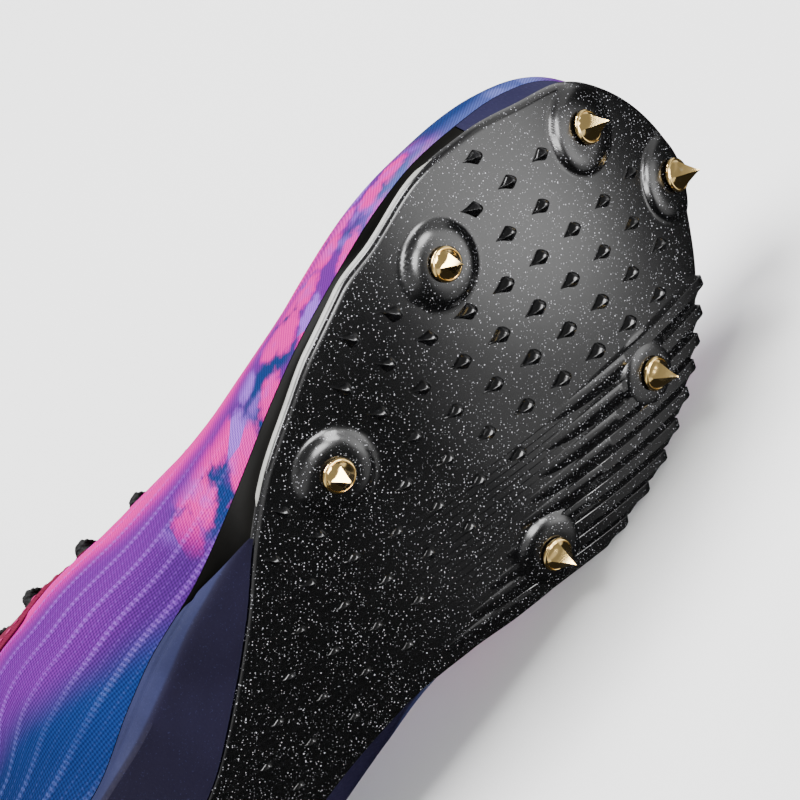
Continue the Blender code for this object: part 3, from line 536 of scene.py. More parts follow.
def satinFinish():
    paint = Paint("sideSatin", specular_ior_level=0.05)
    grain = paint.noise(1400.0, 3.0)
    smear = paint.blotches(70.0, 3.0, 0.35, 0.7)
    paint.coat(smear, (0.0016, 0.0015, 0.0013), (0.0034, 0.0032, 0.0027), 0.36 + grain * 0.12)
    paint.bump(grain, 0.00002, 0.6)
    return paint


def rimHighlightFinish():
    # painted highlight: pale grey for the light reflected by the plate's glossy side wall
    paint = Paint("rimHighlightGrey")
    grain = paint.noise(500.0, 4.0)
    cloud = paint.step(grain, 0.3, 0.7)
    paint.coat(cloud, (0.21, 0.21, 0.195), (0.28, 0.28, 0.26), 0.30 + grain * 0.15)
    paint.bump(grain, 0.00002, 0.4)
    return paint


def goldFinish():
    paint = Paint("spikeGold", metallic=1.0)
    turned = paint.noise(260.0, 4.0, vector=paint.place(stretch=(1, 1, 6)))
    worn = paint.blotches(500.0, 4.0, 0.55, 0.8)
    paint.coat(worn, (0.82, 0.58, 0.23), (0.88, 0.70, 0.38), 0.08 + turned * 0.08 + worn * 0.08)
    paint.bump(turned, 0.00002, 0.5)
    return paint


def foamFinish(name, dark, pale, paintedUnderShade):
    paint = Paint(name, specular_ior_level=0.10)
    beads = paint.cells(1500.0, feature="SMOOTH_F1")
    cloud = paint.blotches(45.0, 4.0, 0.3, 0.75)
    speck = paint.blotches(2600.0, 2.0, 0.62, 0.75)
    colour = paint.mix(cloud, dark, pale)
    # painted shade: the foam's underside, which faces away from the light, is painted darker
    if paintedUnderShade:  # darker up to the edge of its underside
        around = paint.part(paint.node("TexCoord", out="UV"), 1)
        shown = paint.step(around, 0.405, 0.43) * (1 - paint.step(around, 0.965, 1.0))
        low = paint.mix(cloud, (0.0040, 0.0030, 0.0120), (0.0064, 0.0050, 0.0180))
        colour = paint.mix(shown, low, colour)
    paint.coat(speck * 0.25, colour, (0.04, 0.045, 0.12), 0.56 + beads * 0.20)
    paint.bump(beads + paint.noise(3000.0, 2.0) * 0.4, 0.00006, 0.5)
    return paint


def stripes(paint, value, soft, wide):  # 1 inside a band at every whole number
    wave = paint.math("PINGPONG", value, 0.5) * 2
    return 1 - paint.step(wave, wide - soft, wide + soft)


knit = {
    "hotPink": (0.620, 0.0004, 0.2400), "orchid": (0.270, 0.0070, 0.210),
    "violet": (0.105, 0.0085, 0.185), "deepViolet": (0.048, 0.0055, 0.115),
    "blue": (0.0040, 0.0230, 0.110), "deepBlue": (0.0025, 0.0095, 0.050),
    "lilac": (0.240, 0.0800, 0.500), "paleBlue": (0.095, 0.1150, 0.320),
}
knitRibs = {"count": 10.0, "slant": 4.5, "height": 0.32 * mm, "start": 0.34, "full": 0.46}


def knitSide(paint, turn, height, drift, heelward):  # pink, violet under it, blue to the heel
    throat = 0.34 + paint.step(turn, 0.36, 0.62) * 0.25
    pink = paint.step(height, throat - 0.14, throat + 0.10)
    return paint.layers(
        knit["deepViolet"], (paint.step(height, 0.02, 0.30), knit["violet"]),
        (paint.step(pink, 0.0, 0.6), knit["orchid"]), (paint.step(pink, 0.35, 1.0), knit["hotPink"]),
        (heelward, knit["blue"]), (paint.step(turn + drift * 0.10, 0.62, 0.80), knit["deepBlue"]))


def knitPatches(paint, turn, level, drift, soft):  # long pink patches, and the veins between them
    place = paint.node("CombineXYZ", {}, {0: turn * 31.0 + level * 2.2 + drift * 1.3,
                                          1: level * 6.6 + turn * 9.0 + soft * 1.2})

    def patchCells(out):
        return paint.node("TexVoronoi", {"voronoi_dimensions": "2D"},
                          {"Vector": place, "Scale": 1.0, "Randomness": 0.85}, out=out)

    pick = paint.part(patchCells("Color"), 0)
    patch = paint.layers(
        knit["hotPink"], (paint.step(pick, 0.80, 0.84), knit["lilac"]),
        (paint.step(pick, 0.90, 0.93), knit["violet"]),
        (paint.blotches(130.0, 3.0, 0.50, 0.72) * 0.45, knit["lilac"]))
    between = paint.layers(
        knit["violet"], (paint.blotches(75.0, 3.0, 0.42, 0.58), knit["blue"]),
        (paint.blotches(90.0, 3.0, 0.55, 0.68) * 0.6, knit["lilac"]))
    pale = paint.mix(paint.blotches(60.0, 2.0, 0.40, 0.60), knit["lilac"], knit["paleBlue"])
    paleEdge = (1 - paint.step(level + drift * 0.10, 0.03, 0.12)) * (1 - paint.step(turn, 0.17, 0.25))
    grainy = drift * 0.34 + (paint.noise(520.0, 3.0) - 0.5) * 0.42
    vein = paint.step(patchCells("Distance") + grainy, 0.32, 0.60)
    return paint.layers(patch, (vein, between), (paleEdge * 0.75, pale))


def knitToe(paint, turn, level, drift):  # blue with pale spots beside the sole, violet at the tip
    spots = paint.blotches(110.0, 3.0, 0.48, 0.62)
    spotted = paint.mix(spots, paint.mix(0.5, knit["blue"], knit["paleBlue"]), knit["paleBlue"])
    rim = 1 - paint.step(level + drift * 0.12 + turn * 0.25, 0.05, 0.15)
    tip = 1 - paint.step(turn + drift * 0.05, 0.015, 0.045)
    return paint.layers(knit["blue"], (rim, spotted), (tip, knit["violet"]))


def knitFinish():
    paint = Paint("upperKnit", specular_ior_level=0.05)
    uv = paint.node("TexCoord", out="UV")
    turn = paint.math("ABSOLUTE", paint.part(uv, 0))
    level = paint.part(uv, 1)
    drift = paint.noise(34.0, 3.0) - 0.5
    soft = paint.noise(11.0, 2.0) - 0.5
    height = level + drift * 0.10 + soft * 0.12
    heelward = paint.step(turn - height * 0.42 + drift * 0.06, 0.49, 0.58)
    nearSole = 1 - paint.step(level + drift * 0.10 + turn * 0.30, 0.28, 0.40)
    nearSole = nearSole * (1 - paint.step(turn + drift * 0.06, 0.42, 0.47))
    nearSole = nearSole * paint.step(turn + drift * 0.04, 0.125, 0.155)
    toe = 1 - paint.step(turn + drift * 0.06, 0.125, 0.165)
    colour = paint.layers(
        knitSide(paint, turn, height, drift, heelward),
        (nearSole, knitPatches(paint, turn, level, drift, soft)),
        (toe, knitToe(paint, turn, level, drift)))
    # lengthwise knitted ribs made of short stitches, with fine lines between them; the raised ribs and
    # stitches are painted lighter, a painted highlight
    run = level * knitRibs["count"] - turn * knitRibs["slant"]
    zone = paint.step(turn, knitRibs["start"], knitRibs["full"])
    zone = zone * (0.35 + paint.blotches(26.0, 2.0, 0.35, 0.6) * 0.65)
    rib = stripes(paint, run, 0.09, 0.17) * zone
    finer = stripes(paint, run * 3.0 + 0.3, 0.15, 0.22) * zone
    stitch = stripes(paint, (turn + level * 0.02) * 190.0, 0.25, 0.5)
    lit = paint.mix(heelward, knit["lilac"], knit["paleBlue"])
    light = paint.mix(0.48 - heelward * 0.14, colour, lit)
    colour = paint.layers(colour, (rib * (0.25 + stitch * 0.60), light), (finer * stitch * 0.35, light))
    weave = (stripes(paint, turn * 300.0 + level * 60.0, 0.3, 0.5) * 0.5
             + stripes(paint, level * 95.0 - turn * 110.0, 0.3, 0.5) * 0.5)
    # painted shade: the sunken rows of the weave are painted darker, the raised ribs less so
    dark = paint.mix(paint.step(weave + rib * 0.3, 0.1, 0.9), (0.42, 0.38, 0.52), (1.0, 1.0, 1.0))
    paint.give(base_color=paint.mix(1.0, colour, dark, "MULTIPLY"), roughness=0.66 + weave * 0.12)
    paint.bump(weave * 0.5 + rib * (0.5 + stitch * 0.8) + finer * 0.3, 0.00022, 0.8)
    return paint


def clothFinish(name, first, second, scale=900.0):
    paint = Paint(name, specular_ior_level=0.12)
    over = paint.node("TexWave", {"wave_type": "BANDS", "bands_direction": "DIAGONAL"},
                      {"Vector": paint.place(), "Scale": scale, "Distortion": 0.6, "Detail": 1.0})
    turned = paint.place(turn=(0.5, 0.9, 0.3))
    cross = paint.node("TexWave", {"wave_type": "BANDS", "bands_direction": "X"},
                       {"Vector": turned, "Scale": scale * 0.8, "Distortion": 0.6})
    weave = over * 0.5 + cross * 0.5
    colour = paint.mix(paint.blotches(40.0, 4.0, 0.3, 0.75), first, second)
    paint.coat(weave * 0.55, colour, tuple(c * 0.45 for c in first), 0.75 + weave * 0.12)
    paint.bump(weave, 0.00012, 0.6)
    return paint


def laceFinish():
    paint = Paint("laceBlack", specular_ior_level=0.25)
    strand = paint.cells(1300.0)
    # painted shade: the sunken gaps between the lace's strands are painted darker
    deep = paint.step(strand, 0.2, 0.6)
    paint.coat(deep, (0.008, 0.008, 0.009), (0.0015, 0.0015, 0.0018), 0.72 + strand * 0.15)
    paint.bump(1 - strand, 0.00020, 0.9)
    return paint


plateBlack = plateFinish()
toothBlack = toothFinish()
sideSatin = satinFinish()
# the rim's pale grey is a painted highlight
rimHighlightGrey = rimHighlightFinish()
spikeGold = goldFinish()
foamNavy = foamFinish("foamNavy", (0.0120, 0.0140, 0.0420), (0.0210, 0.0240, 0.0700), True)
toeNavy = foamFinish("foamToe", (0.0095, 0.0085, 0.0300), (0.0140, 0.0130, 0.0400), False)
upperKnit = knitFinish()
crimsonCloth = clothFinish("eyestayCrimson", (0.110, 0.0030, 0.024), (0.150, 0.0045, 0.034))
pinkCloth = clothFinish("tonguePink", (0.400, 0.0060, 0.110), (0.480, 0.0090, 0.140), 700.0)
liningCloth = clothFinish("liningDark", (0.008, 0.008, 0.014), (0.014, 0.013, 0.024), 800.0)
footbedCloth = clothFinish("footbedGrey", (0.022, 0.022, 0.026), (0.036, 0.034, 0.040), 600.0)
laceBlack = laceFinish()
eyeletDark = clothFinish("eyeletCrimson", (0.060, 0.0020, 0.014), (0.080, 0.0030, 0.020))
threadPink = clothFinish("threadRose", (0.400, 0.020, 0.130), (0.460, 0.030, 0.160), 2400.0)
bindingCloth = clothFinish("bindingViolet", (0.022, 0.006, 0.070), (0.032, 0.009, 0.090), 1500.0)
print("finishes ready")


# Outlines of the sole

def outlinePairs(table, start, stop, stations, inset=0.0):
    first, last = table.columns["along"][0], table.columns["along"][-1]
    outer, inner = [], []
    for part in shares(stations):  # closer together at both ends
        share = (1 - math.cos(math.pi * part)) / 2
        for line, y in zip((outer, inner), sidesAt(table, first + (last - first) * share)):
            line.append(Vector((start + (stop - start) * share, y)))
    outline = outer + inner[-2:0:-1]
    count = len(outline)
    moved = []
    for k, point in enumerate(outline):
        run = (outline[(k + 1) % count] - outline[k - 1]).normalized()
        moved.append(point + Vector((-run.y, run.x)) * inset)
    return [(moved[i], moved[-i % count]) for i in range(stations + 1)]


def lifted(point, height):
    return Vector((point.x, point.y, height(point.x, point.y)))


def rowAcross(pair, height, columns):
    return [lifted(pair[0].lerp(pair[1], share), height) for share in shares(columns)]


def rowBack(pair, height, columns):
    return rowAcross(pair, height, columns)[::-1]


# The plate, with its bosses in the same skin

plateParts = {
    "wall": 2.2 * mm, "tail": 0.275, "rim": 0.8 * mm,
    "stations": 300, "columns": 120, "topColumns": 10, "insets": (1.0, 0.3, 0.0, 0.5), "edge": 0.3,
    "bossRadius": 9.6 * mm, "bossHeight": 1.7 * mm,
}
bossShape = Table(("reach", "rise"), (
    (0.00, 1.00), (0.50, 1.00), (0.56, 0.985), (0.68, 0.91), (0.80, 0.74),
    (0.90, 0.46), (0.96, 0.20), (1.00, 0.0)), rounded=False)


def plateSpan():
    return shoe["length"] * plateParts["tail"], shoe["length"]


def bossReach(x, y):  # from the middle of the nearest boss
    return min(math.dist((x, y), onSole(*place)) for place in spikePlaces.values())


def bossRise(x, y):
    reach = bossReach(x, y) / plateParts["bossRadius"]
    return bossShape.at(reach, "rise") * plateParts["bossHeight"] if reach < 1 else 0.0


def nearBoss(x, y, clear):
    return bossReach(x, y) < plateParts["bossRadius"] + clear


def plateUnder(x, y):
    return plateBottom(x, y) - bossRise(x, y)


def plateSkin():
    rim, wall, stations = plateParts["rim"], plateParts["wall"], plateParts["stations"]
    rings = [outlinePairs(plateTable, *plateSpan(), stations, inset * rim)
             for inset in plateParts["insets"]]
    edge = plateParts["edge"]

    def rowAt(low, turned, side, top):
        heights = ((turned, edge * rim), (side, rim), (side, wall - edge * rim))

        def sidePoints(end):
            return [lifted(pair[end], lambda x, y, up=up: plateBottom(x, y) + up)
                    for pair, up in heights]

        return (rowAcross(low, plateUnder, plateParts["columns"]) + sidePoints(1)
                + rowBack(top, plateTop, plateParts["topColumns"]) + sidePoints(0)[::-1])

    return loft([rowAt(*pairs) for pairs in zip(*rings)])


teeth = {
    "first": (0.924, -0.191), "rows": 18, "back": 9.3 * mm, "slant": 6.3 * mm,
    "across": 10.3 * mm, "drift": 0.6 * mm, "radius": 1.85 * mm, "tail": 2.3 * mm,
    "height": 1.8 * mm, "sides": 18, "start": 0.380, "stop": 0.985, "margin": 5.5 * mm,
    "clearOfBoss": 2.6 * mm, "biggest": 0.80, "fade": 1.5, "smallest": 0.55,
    "turn": math.radians(32), "turnMore": math.radians(42), "turnStart": 4 * mm, "turnRun": 28 * mm,
    "turnToe": 0.93, "turnFade": 0.1, "lobe": 0.16,
    "rings": ((1.04, 0.12), (0.86, 0.50), (0.56, 0.80), (0.24, 0.97), (0.0, 1.06)),
    "foot": (1.16, -0.35 * mm), "lead": 0.30, "narrow": 0.80, "narrowPower": 1.2,
}
ribs = {
    "tips": ((0.902, 0.472), (0.881, 0.498), (0.860, 0.518), (0.840, 0.533), (0.818, 0.545),
             (0.792, 0.552), (0.765, 0.555), (0.736, 0.547), (0.704, 0.533)),
    "turn": math.radians(33), "height": 1.55 * mm, "overhang": 1.6 * mm, "length": 54 * mm,
    "sunk": 0.9 * mm, "fieldEdge": 0.16, "fieldAhead": 3.6 * mm, "stations": 60, "half": 1.35 * mm,
    "skirt": 2.9, "skirtStart": 1.15, "skirtTop": -0.1 * mm,
}
ribShape = Table(("back", "size", "narrow"), (
    (0.00, 0.80, 0.90), (0.02, 0.97, 0.98), (0.35, 0.92, 1.00), (0.60, 0.62, 0.98),
    (0.85, 0.26, 0.80), (1.00, 0.04, 0.45)), rounded=False)


def plateReach(x):
    start, stop = plateSpan()
    return sidesAt(plateTable, (x - start) / (stop - start))


def inRibs(x, y):
    (frontX, frontY), (tailX, tailY) = onSole(*ribs["tips"][0]), onSole(*ribs["tips"][-1])
    slope = math.tan(ribs["turn"])
    first = tailX + (y - tailY) / slope - teeth["back"]
    last = frontX + (y - frontY) / slope + ribs["fieldAhead"]
    return y > shoe["width"] * ribs["fieldEdge"] and first < x < last


def toothPlaces():
    firstX, firstY = onSole(*teeth["first"])
    start, stop = shoe["length"] * teeth["start"], shoe["length"] * teeth["stop"]
    places = []
    for back in range(-2, teeth["rows"]):
        for across in range(-teeth["rows"], teeth["rows"]):
            x = firstX - back * teeth["back"] - across * teeth["drift"]
            y = firstY - back * teeth["slant"] + across * teeth["across"]
            if not start < x < stop:
                continue
            outer, inner = plateReach(x)
            onPlate = outer + teeth["margin"] < y < inner - teeth["margin"]
            if onPlate and not nearBoss(x, y, teeth["clearOfBoss"]) and not inRibs(x, y):
                places.append((x, y))
    return places


def toothMesh(size):  # rings of a round head with a narrow tail, closed on a low dome
    radius, tail, height = teeth["radius"] * size, teeth["tail"] * size, teeth["height"] * size
    foot = teeth["foot"][0]
    rings = [teeth["foot"]] + [(reach, rise * height) for reach, rise in teeth["rings"]]

    def rowAt(reach, rise):
        lead = radius * teeth["lead"] * (1 - reach / foot)
        points = []
        for k in range(teeth["sides"]):
            angle = 2 * math.pi * (k + 0.5) / teeth["sides"]
            lobe = 1 + teeth["lobe"] * math.cos(3 * angle) * min(1.0, 2.4 * reach * (1.3 - reach))
            back = max(0.0, -math.cos(angle))
            x = math.cos(angle) * radius * lobe - back ** 3 * tail
            narrow = 1 - teeth["narrow"] * back ** teeth["narrowPower"]
            y = math.sin(angle) * radius * lobe * narrow
            points.append(Vector((x * reach + lead, y * reach, rise)))
        return points

    return closedLoft([rowAt(*one) for one in rings])


def ribMesh(along, across):  # a flat-topped bar, steep to the toe, with a long slope behind it
    turn = Matrix.Rotation(-ribs["turn"], 4, "Z")
    tipX, tipY = onSole(along, across)

    def rowAt(back):
        reach = ribs["overhang"] - back * ribs["length"]
        x, y = tipX + reach * math.cos(ribs["turn"]), tipY + reach * math.sin(ribs["turn"])
        half = ribs["half"] * ribShape.at(back, "narrow")
        rise = ribs["height"] * ribShape.at(back, "size")
        skirt = ribs["skirtStart"] + (ribs["skirt"] - ribs["skirtStart"]) * ease((back - 0.01) / 0.06)
        place = surfaceFrame(x, y) @ turn
        shape = ((-skirt, -ribs["sunk"]), (-skirt, ribs["skirtTop"]), (-1.0, 0.93 * rise), (-0.93, rise),
                 (0.90, rise), (0.97, 0.93 * rise), (1.0, -ribs["sunk"]))
        return [place @ Vector((0, a * half, b)) for a, b in shape]

    return closedLoft([rowAt(back) for back in shares(ribs["stations"])])


fineLines = {
    "count": 34, "spacing": 1.6 * mm, "turn": math.radians(31.5), "turnStep": math.radians(0.14),
    "height": 0.20 * mm, "half": 0.26 * mm, "sunk": 0.2 * mm, "step": 0.9 * mm, "steps": 220,
    "ahead": 30 * mm, "margin": 2.0 * mm, "innerMargin": 5 * mm, "tailMargin": 4 * mm,
    "toeMargin": 3 * mm, "clearOfBoss": 0.6 * mm, "ribRun": 42 * mm, "underRibs": 19, "shortest": 10,
}


def fineLineRuns(number, turn):  # stretches of one line that lie free on the plate
    way = Vector((math.cos(turn), math.sin(turn)))
    start = Vector(onSole(*ribs["tips"][0]))
    start.x -= fineLines["spacing"] * (number - 0.5) / math.sin(turn)
    tail, toe = plateSpan()
    runs = [[]]
    for k in range(fineLines["steps"]):
        back = k * fineLines["step"] - fineLines["ahead"]
        spot = start - way * back
        onPlate = tail + fineLines["tailMargin"] < spot.x < toe - fineLines["toeMargin"]
        outer, inner = plateReach(spot.x) if onPlate else (0, 0)
        clear = spot.y < inner - fineLines["innerMargin"]
        if number < fineLines["underRibs"]:
            clear = back > fineLines["ribRun"]
        clear = clear and outer + fineLines["margin"] < spot.y < inner
        if clear and not nearBoss(*spot, fineLines["clearOfBoss"]):
            runs[-1].append(spot)
        elif runs[-1]:
            runs.append([])
    return [run for run in runs if len(run) > fineLines["shortest"]]


def fineLineMesh(run, turn):  # a thin ridge that leads a rib's edge on to the outer waist
    rotate = Matrix.Rotation(-turn, 4, "Z")

    def rowAt(spot, share):
        rise = fineLines["height"] * (0.2 + 0.8 * ease(share * 8) * ease((1 - share) * 8))
        half, foot = fineLines["half"], -fineLines["sunk"]
        place = surfaceFrame(spot.x, spot.y) @ rotate
        section = (-half, foot), (-0.4 * half, rise), (0.4 * half, rise), (half, foot)
        return [place @ Vector((0, across, up)) for across, up in section]

    return closedLoft([rowAt(*one) for one in zip(run, shares(len(run) - 1))])


def makePlate():
    plate = facedOut(plateSkin())
    for tip in ribs["tips"]:
        addShape(plate, facedOut(ribMesh(*tip)))
    for number in range(fineLines["count"]):
        turn = fineLines["turn"] - fineLines["turnStep"] * number
        for run in fineLineRuns(number, turn):
            addShape(plate, fineLineMesh(run, turn))
    finishPiece(facedOut(plate), "plate", [plateBlack], ("spike_plate",), 38)


def makeTeeth():
    joined = bmesh.new()
    for x, y in toothPlaces():
        along = x / shoe["length"]
        size = max(teeth["smallest"], 1 - teeth["fade"] * abs(along - teeth["biggest"]))
        more = ease((-y - teeth["turnStart"]) / teeth["turnRun"])
        more *= ease((teeth["turnToe"] - along) / teeth["turnFade"])
        turn = Matrix.Rotation(-teeth["turn"] - teeth["turnMore"] * more, 4, "Z")
        addShape(joined, toothMesh(size), surfaceFrame(x, y) @ turn)
    finishPiece(facedOut(joined), "plateTeeth", [toothBlack], (), 75)


# Spikes

spikeParts = {
    "flange": 4.0 * mm, "flangeWall": 0.9 * mm, "point": 3.35 * mm, "reach": 6.0 * mm,
    "stud": 2.4 * mm, "studReach": 2.6 * mm, "sides": 48, "edge": 0.12 * mm, "pointRings": 24,
    # the flange's rounded edges, in edge widths: how far in, and how far up or down
    "lowerEdge": ((2, 0), (0.4, 0.8), (0, 2.4)), "upperEdge": ((0.5, 3), (1.6, 1.2), (3.2, 0.2), (4.2, 0)),
    "pointFoot": 1.02, "squareStart": 0.02, "squareRun": 0.30,
}
spikeProfile = Table(("rise", "reach"), (
    (0.00, 1.00), (0.10, 0.92), (0.25, 0.76), (0.50, 0.48), (0.75, 0.225), (0.92, 0.07), (1.00, 0.015)),
    rounded=False)


def makeSpike(name, place):
    flange, wall = spikeParts["flange"], spikeParts["flangeWall"]
    stud, point, edge = spikeParts["stud"], spikeParts["point"], spikeParts["edge"]
    rings = [(stud, -spikeParts["studReach"], 0), (stud, 0, 0)]
    rings += [(flange - inward * edge, up * edge, 0) for inward, up in spikeParts["lowerEdge"]]
    rings += [(flange - inward * edge, wall - down * edge, 0) for inward, down in spikeParts["upperEdge"]]
    rings.append((point * spikeParts["pointFoot"], wall - 0.4 * edge, 0))
    for share in shares(spikeParts["pointRings"]):
        square = ease((share - spikeParts["squareStart"]) / spikeParts["squareRun"])
        reach = point * spikeProfile.at(share, "reach")
        rings.append((reach, wall + spikeParts["reach"] * share, square))

    def rowAt(radius, height, square):
        points = []
        for angle in angles(spikeParts["sides"]):
            flat = math.cos(math.pi / 4) / max(abs(math.cos(angle)), abs(math.sin(angle)))
            away = radius * (1 + (flat - 1) * square)
            points.append(Vector((away * math.cos(angle), away * math.sin(angle), height)))
        return points

    spike = closedLoft([rowAt(*one) for one in rings])
    lift = Matrix.Translation((0, 0, plateParts["bossHeight"] + shoe["gap"]))
    bmesh.ops.transform(spike, matrix=surfaceFrame(*onSole(*place)) @ lift, verts=spike.verts)
    pieceName = name.replace("spike_", "spikeGold_")
    finishPiece(facedOut(spike), pieceName, [spikeGold], (name,), 28)


def makeSpikes():
    for name, place in spikePlaces.items():
        makeSpike(name, place)


# Sole pieces above the plate

wedge = {"tip": 0.556, "top": 0.498, "toeLine": 0.905}


def wedgePlane(gap):  # a point and a normal that faces the toe and the foot
    tip = Vector((shoe["length"] * wedge["tip"], 0, 0))
    top = Vector((shoe["length"] * wedge["top"], 0, 0))
    tip.z, top.z = plateTop(tip.x, 0), soleTop(top.x, 0)
    run = (top - tip).normalized()
    normal = Vector((run.z, 0, -run.x))
    return tip + normal * gap, normal


def cutAway(bm, point, normal, keepAhead):
    everything = bm.verts[:] + bm.edges[:] + bm.faces[:]
    made = bmesh.ops.bisect_plane(bm, geom=everything, dist=1e-7, plane_co=point, plane_no=normal,
                                  clear_inner=keepAhead, clear_outer=not keepAhead)
    cut = [part for part in made["geom_cut"] if isinstance(part, bmesh.types.BMEdge)]
    bmesh.ops.holes_fill(bm, edges=[edge for edge in cut if edge.is_valid], sides=0)
    return bm


sideUnit = {
    "stations": 220, "columns": 14, "inset": 1.0 * mm, "sides": 8, "hollow": 0.5 * mm, "sharp": 45,
}


def forefootMesh():
    foot = outlinePairs(plateTable, *plateSpan(), sideUnit["stations"], sideUnit["inset"])

    def floorAt(x, y):
        return plateTop(x, y) + shoe["gap"]

    def wallPoints(low, high, out):
        low, high = lifted(low, floorAt), lifted(high, soleTop)
        hollow = Vector((0, out * sideUnit["hollow"], 0))
        return [low.lerp(high, share) - hollow * math.sin(math.pi * share)
                for share in shares(sideUnit["sides"])[1:-1]]

    def rowAt(low):
        high = biteOver(low[0], "outer"), biteOver(low[1], "inner")
        return (rowAcross(low, floorAt, sideUnit["columns"]) + wallPoints(low[1], high[1], 1)
                + rowBack(high, soleTop, sideUnit["columns"]) + wallPoints(low[0], high[0], -1)[::-1])

    return loft([rowAt(pair) for pair in foot])


def makeSideUnit():
    toeLine, forward = Vector((shoe["length"] * wedge["toeLine"], 0, 0)), Vector((1, 0, 0))
    unit = cutAway(forefootMesh(), *wedgePlane(0.0), True)
    unit = cutAway(unit, toeLine, forward, False)
    sharp = sideUnit["sharp"]
    finishPiece(facedOut(unit), "sideUnit", [sideSatin], ("forefoot_unit",), sharp)
    toe = cutAway(forefootMesh(), toeLine + forward * shoe["gap"], forward, True)
    finishPiece(facedOut(toe), "toeFoam", [toeNavy], ("toe_foam",), sharp)


midsole = {
    "stations": 200, "columns": 40, "roofColumns": 12, "round": 1.2 * mm, "bulge": 1.02, "sides": 22,
    "swell": 0.7 * mm, "trough": 0.45 * mm, "troughLevel": 0.66, "troughWide": 0.09,
    "tuckStart": 0.46, "tuckRun": 0.07, "heelRun": 8 * mm, "sharp": 45,
    "recessDeep": 20 * mm, "recessStations": 90, "recessColumns": 12,
}


def tucked(point):  # the foam's inner tip draws in behind the plate's edge
    share = ease((point.x / shoe["length"] - midsole["tuckStart"]) / midsole["tuckRun"])
    if share == 0:
        return point
    within = min(point.y, plateReach(point.x)[1] - sideUnit["inset"])
    return Vector((point.x, point.y + (within - point.y) * share))


def midsoleSide(point, side, out):
    start = lifted(point, foamBottom) + Vector((0, point.y * (midsole["bulge"] - 1), midsole["round"]))
    stop = lifted(biteOver(point, side), soleTop)
    fade = ease(point.x / midsole["heelRun"])  # both sides meet at the heel's tip
    points = []
    for share in shares(midsole["sides"])[:-1]:
        swell = midsole["swell"] * math.sin(math.pi * share)
        away = (share - midsole["troughLevel"]) / midsole["troughWide"]
        swell -= midsole["trough"] * math.exp(-(away ** 2))
        points.append(start.lerp(stop, share) + Vector((0, out * swell * fade, 0)))
    return points


def makeMidsole():
    stop = shoe["length"] * foamTable.columns["along"][-1]
    low = outlinePairs(foamTable, 0.0, stop, midsole["stations"])

    def rowAt(outer, inner):
        head = biteOver(outer, "outer"), biteOver(inner, "inner")
        return (rowAcross((outer, inner), foamBottom, midsole["columns"])
                + midsoleSide(inner, "inner", 1) + rowBack(head, soleTop, midsole["roofColumns"])
                + midsoleSide(outer, "outer", -1)[::-1])

    foam = loft([rowAt(outer, tucked(inner)) for outer, inner in low])
    foam = cutAway(foam, *wedgePlane(-shoe["gap"]), False)
    sharp = midsole["sharp"]
    foam = finishPiece(facedOut(foam), "midsole", [foamNavy], ("midsole_foam",), sharp)
    cutOut(foam, plateRecess())
    smooth(foam, sharp)


def plateRecess():  # room for the plate's tail, open below
    spread = shoe["gap"]
    pairs = outlinePairs(plateTable, *plateSpan(), midsole["recessStations"], -spread)
    rows = [rowAcross(pair, lambda x, y: plateBottom(x, y) - midsole["recessDeep"], 1)
            + rowBack(pair, lambda x, y: plateTop(x, y) + spread, midsole["recessColumns"])
            for pair in pairs]
    bm = facedOut(closedLoft(rows))
    bmesh.ops.transform(bm, matrix=lie, verts=bm.verts)
    return addMesh("recess", bm)


footbed = {
    "wall": 3.0 * mm, "clear": 1.8 * mm, "stations": 120, "columns": 24, "lowColumns": 8,
    "drawnIn": 0.8 * mm, "edge": 0.6 * mm,
}


def makeFootbed():
    inset = upperTable.at(1.0, "wall") * shoe["width"] + footbed["clear"]
    stop = shoe["length"] * biteTable.columns["along"][-1]
    outlines = [outlinePairs(biteTable, 0.0, stop, footbed["stations"], inset + more)
                for more in (0.0, footbed["drawnIn"])]

    def above(amount):
        return lambda x, y: soleTop(x, y) + amount

    wall = footbed["wall"]
    low, middle, high = above(shoe["gap"]), above(wall - footbed["edge"]), above(wall)
    rows = [rowAcross(pair, low, footbed["lowColumns"]) + [lifted(pair[1], middle)]
            + rowBack(top, high, footbed["columns"]) + [lifted(pair[0], middle)]
            for pair, top in zip(*outlines)]
    finishPiece(facedOut(loft(rows)), "footbed", [footbedCloth], ("insole",), 50)


# Painted highlight: a pale grey strip along the outer edge of the plate, standing for the light that the
# glossy plate's side wall reflects

rimHighlightStrip = {
    "start": 0.575, "stop": 0.872, "stations": 160, "low": 0.85 * mm, "high": 1.8 * mm,
    "slope": 0.42 * mm, "sunk": -0.5 * mm, "lowerEdge": ((0.10 * mm, -1), (0.16 * mm, -0.86)),
    "bevel": 0.1 * mm, "thinnest": 0.08,
}


def makeRimHighlight():
    start, stop = rimHighlightStrip["start"] * shoe["length"], rimHighlightStrip["stop"] * shoe["length"]
    middle = (rimHighlightStrip["low"] + rimHighlightStrip["high"]) / 2

    def edgeAt(x):
        return plateReach(x)[0]

    def rowAt(share):
        x = start + (stop - start) * share
        run = Vector((2 * mm, edgeAt(x + mm) - edgeAt(x - mm))).normalized()
        out = Vector((run.y, -run.x))
        taper = ease(0.25 + share * 30) * ease(0.1 + (1 - share) * 14)
        half = (rimHighlightStrip["high"] - rimHighlightStrip["low"]) / 2 * max(rimHighlightStrip["thinnest"], taper)
        slope, sunk = rimHighlightStrip["slope"] * taper, rimHighlightStrip["sunk"]
        section = ((sunk, -1), *rimHighlightStrip["lowerEdge"], (slope, 0.7), (slope, 0.86),
                   (slope - rimHighlightStrip["bevel"], 1), (sunk, 1))
        return [lifted(Vector((x, edgeAt(x))) + out * away,
                       lambda x, y, rise=rise: plateBottom(x, y) + middle + rise * half)
                for away, rise in section]

    strip = closedLoft([rowAt(share) for share in shares(rimHighlightStrip["stations"])])
    finishPiece(facedOut(strip), "rimHighlightStrip", [rimHighlightGrey], (), 50)


# Upper

upperParts = {
    "stations": 440, "levels": 84, "innerLevels": 22, "lipRise": 0.4, "liningScale": 20, "liningFrom": 1.08,
}
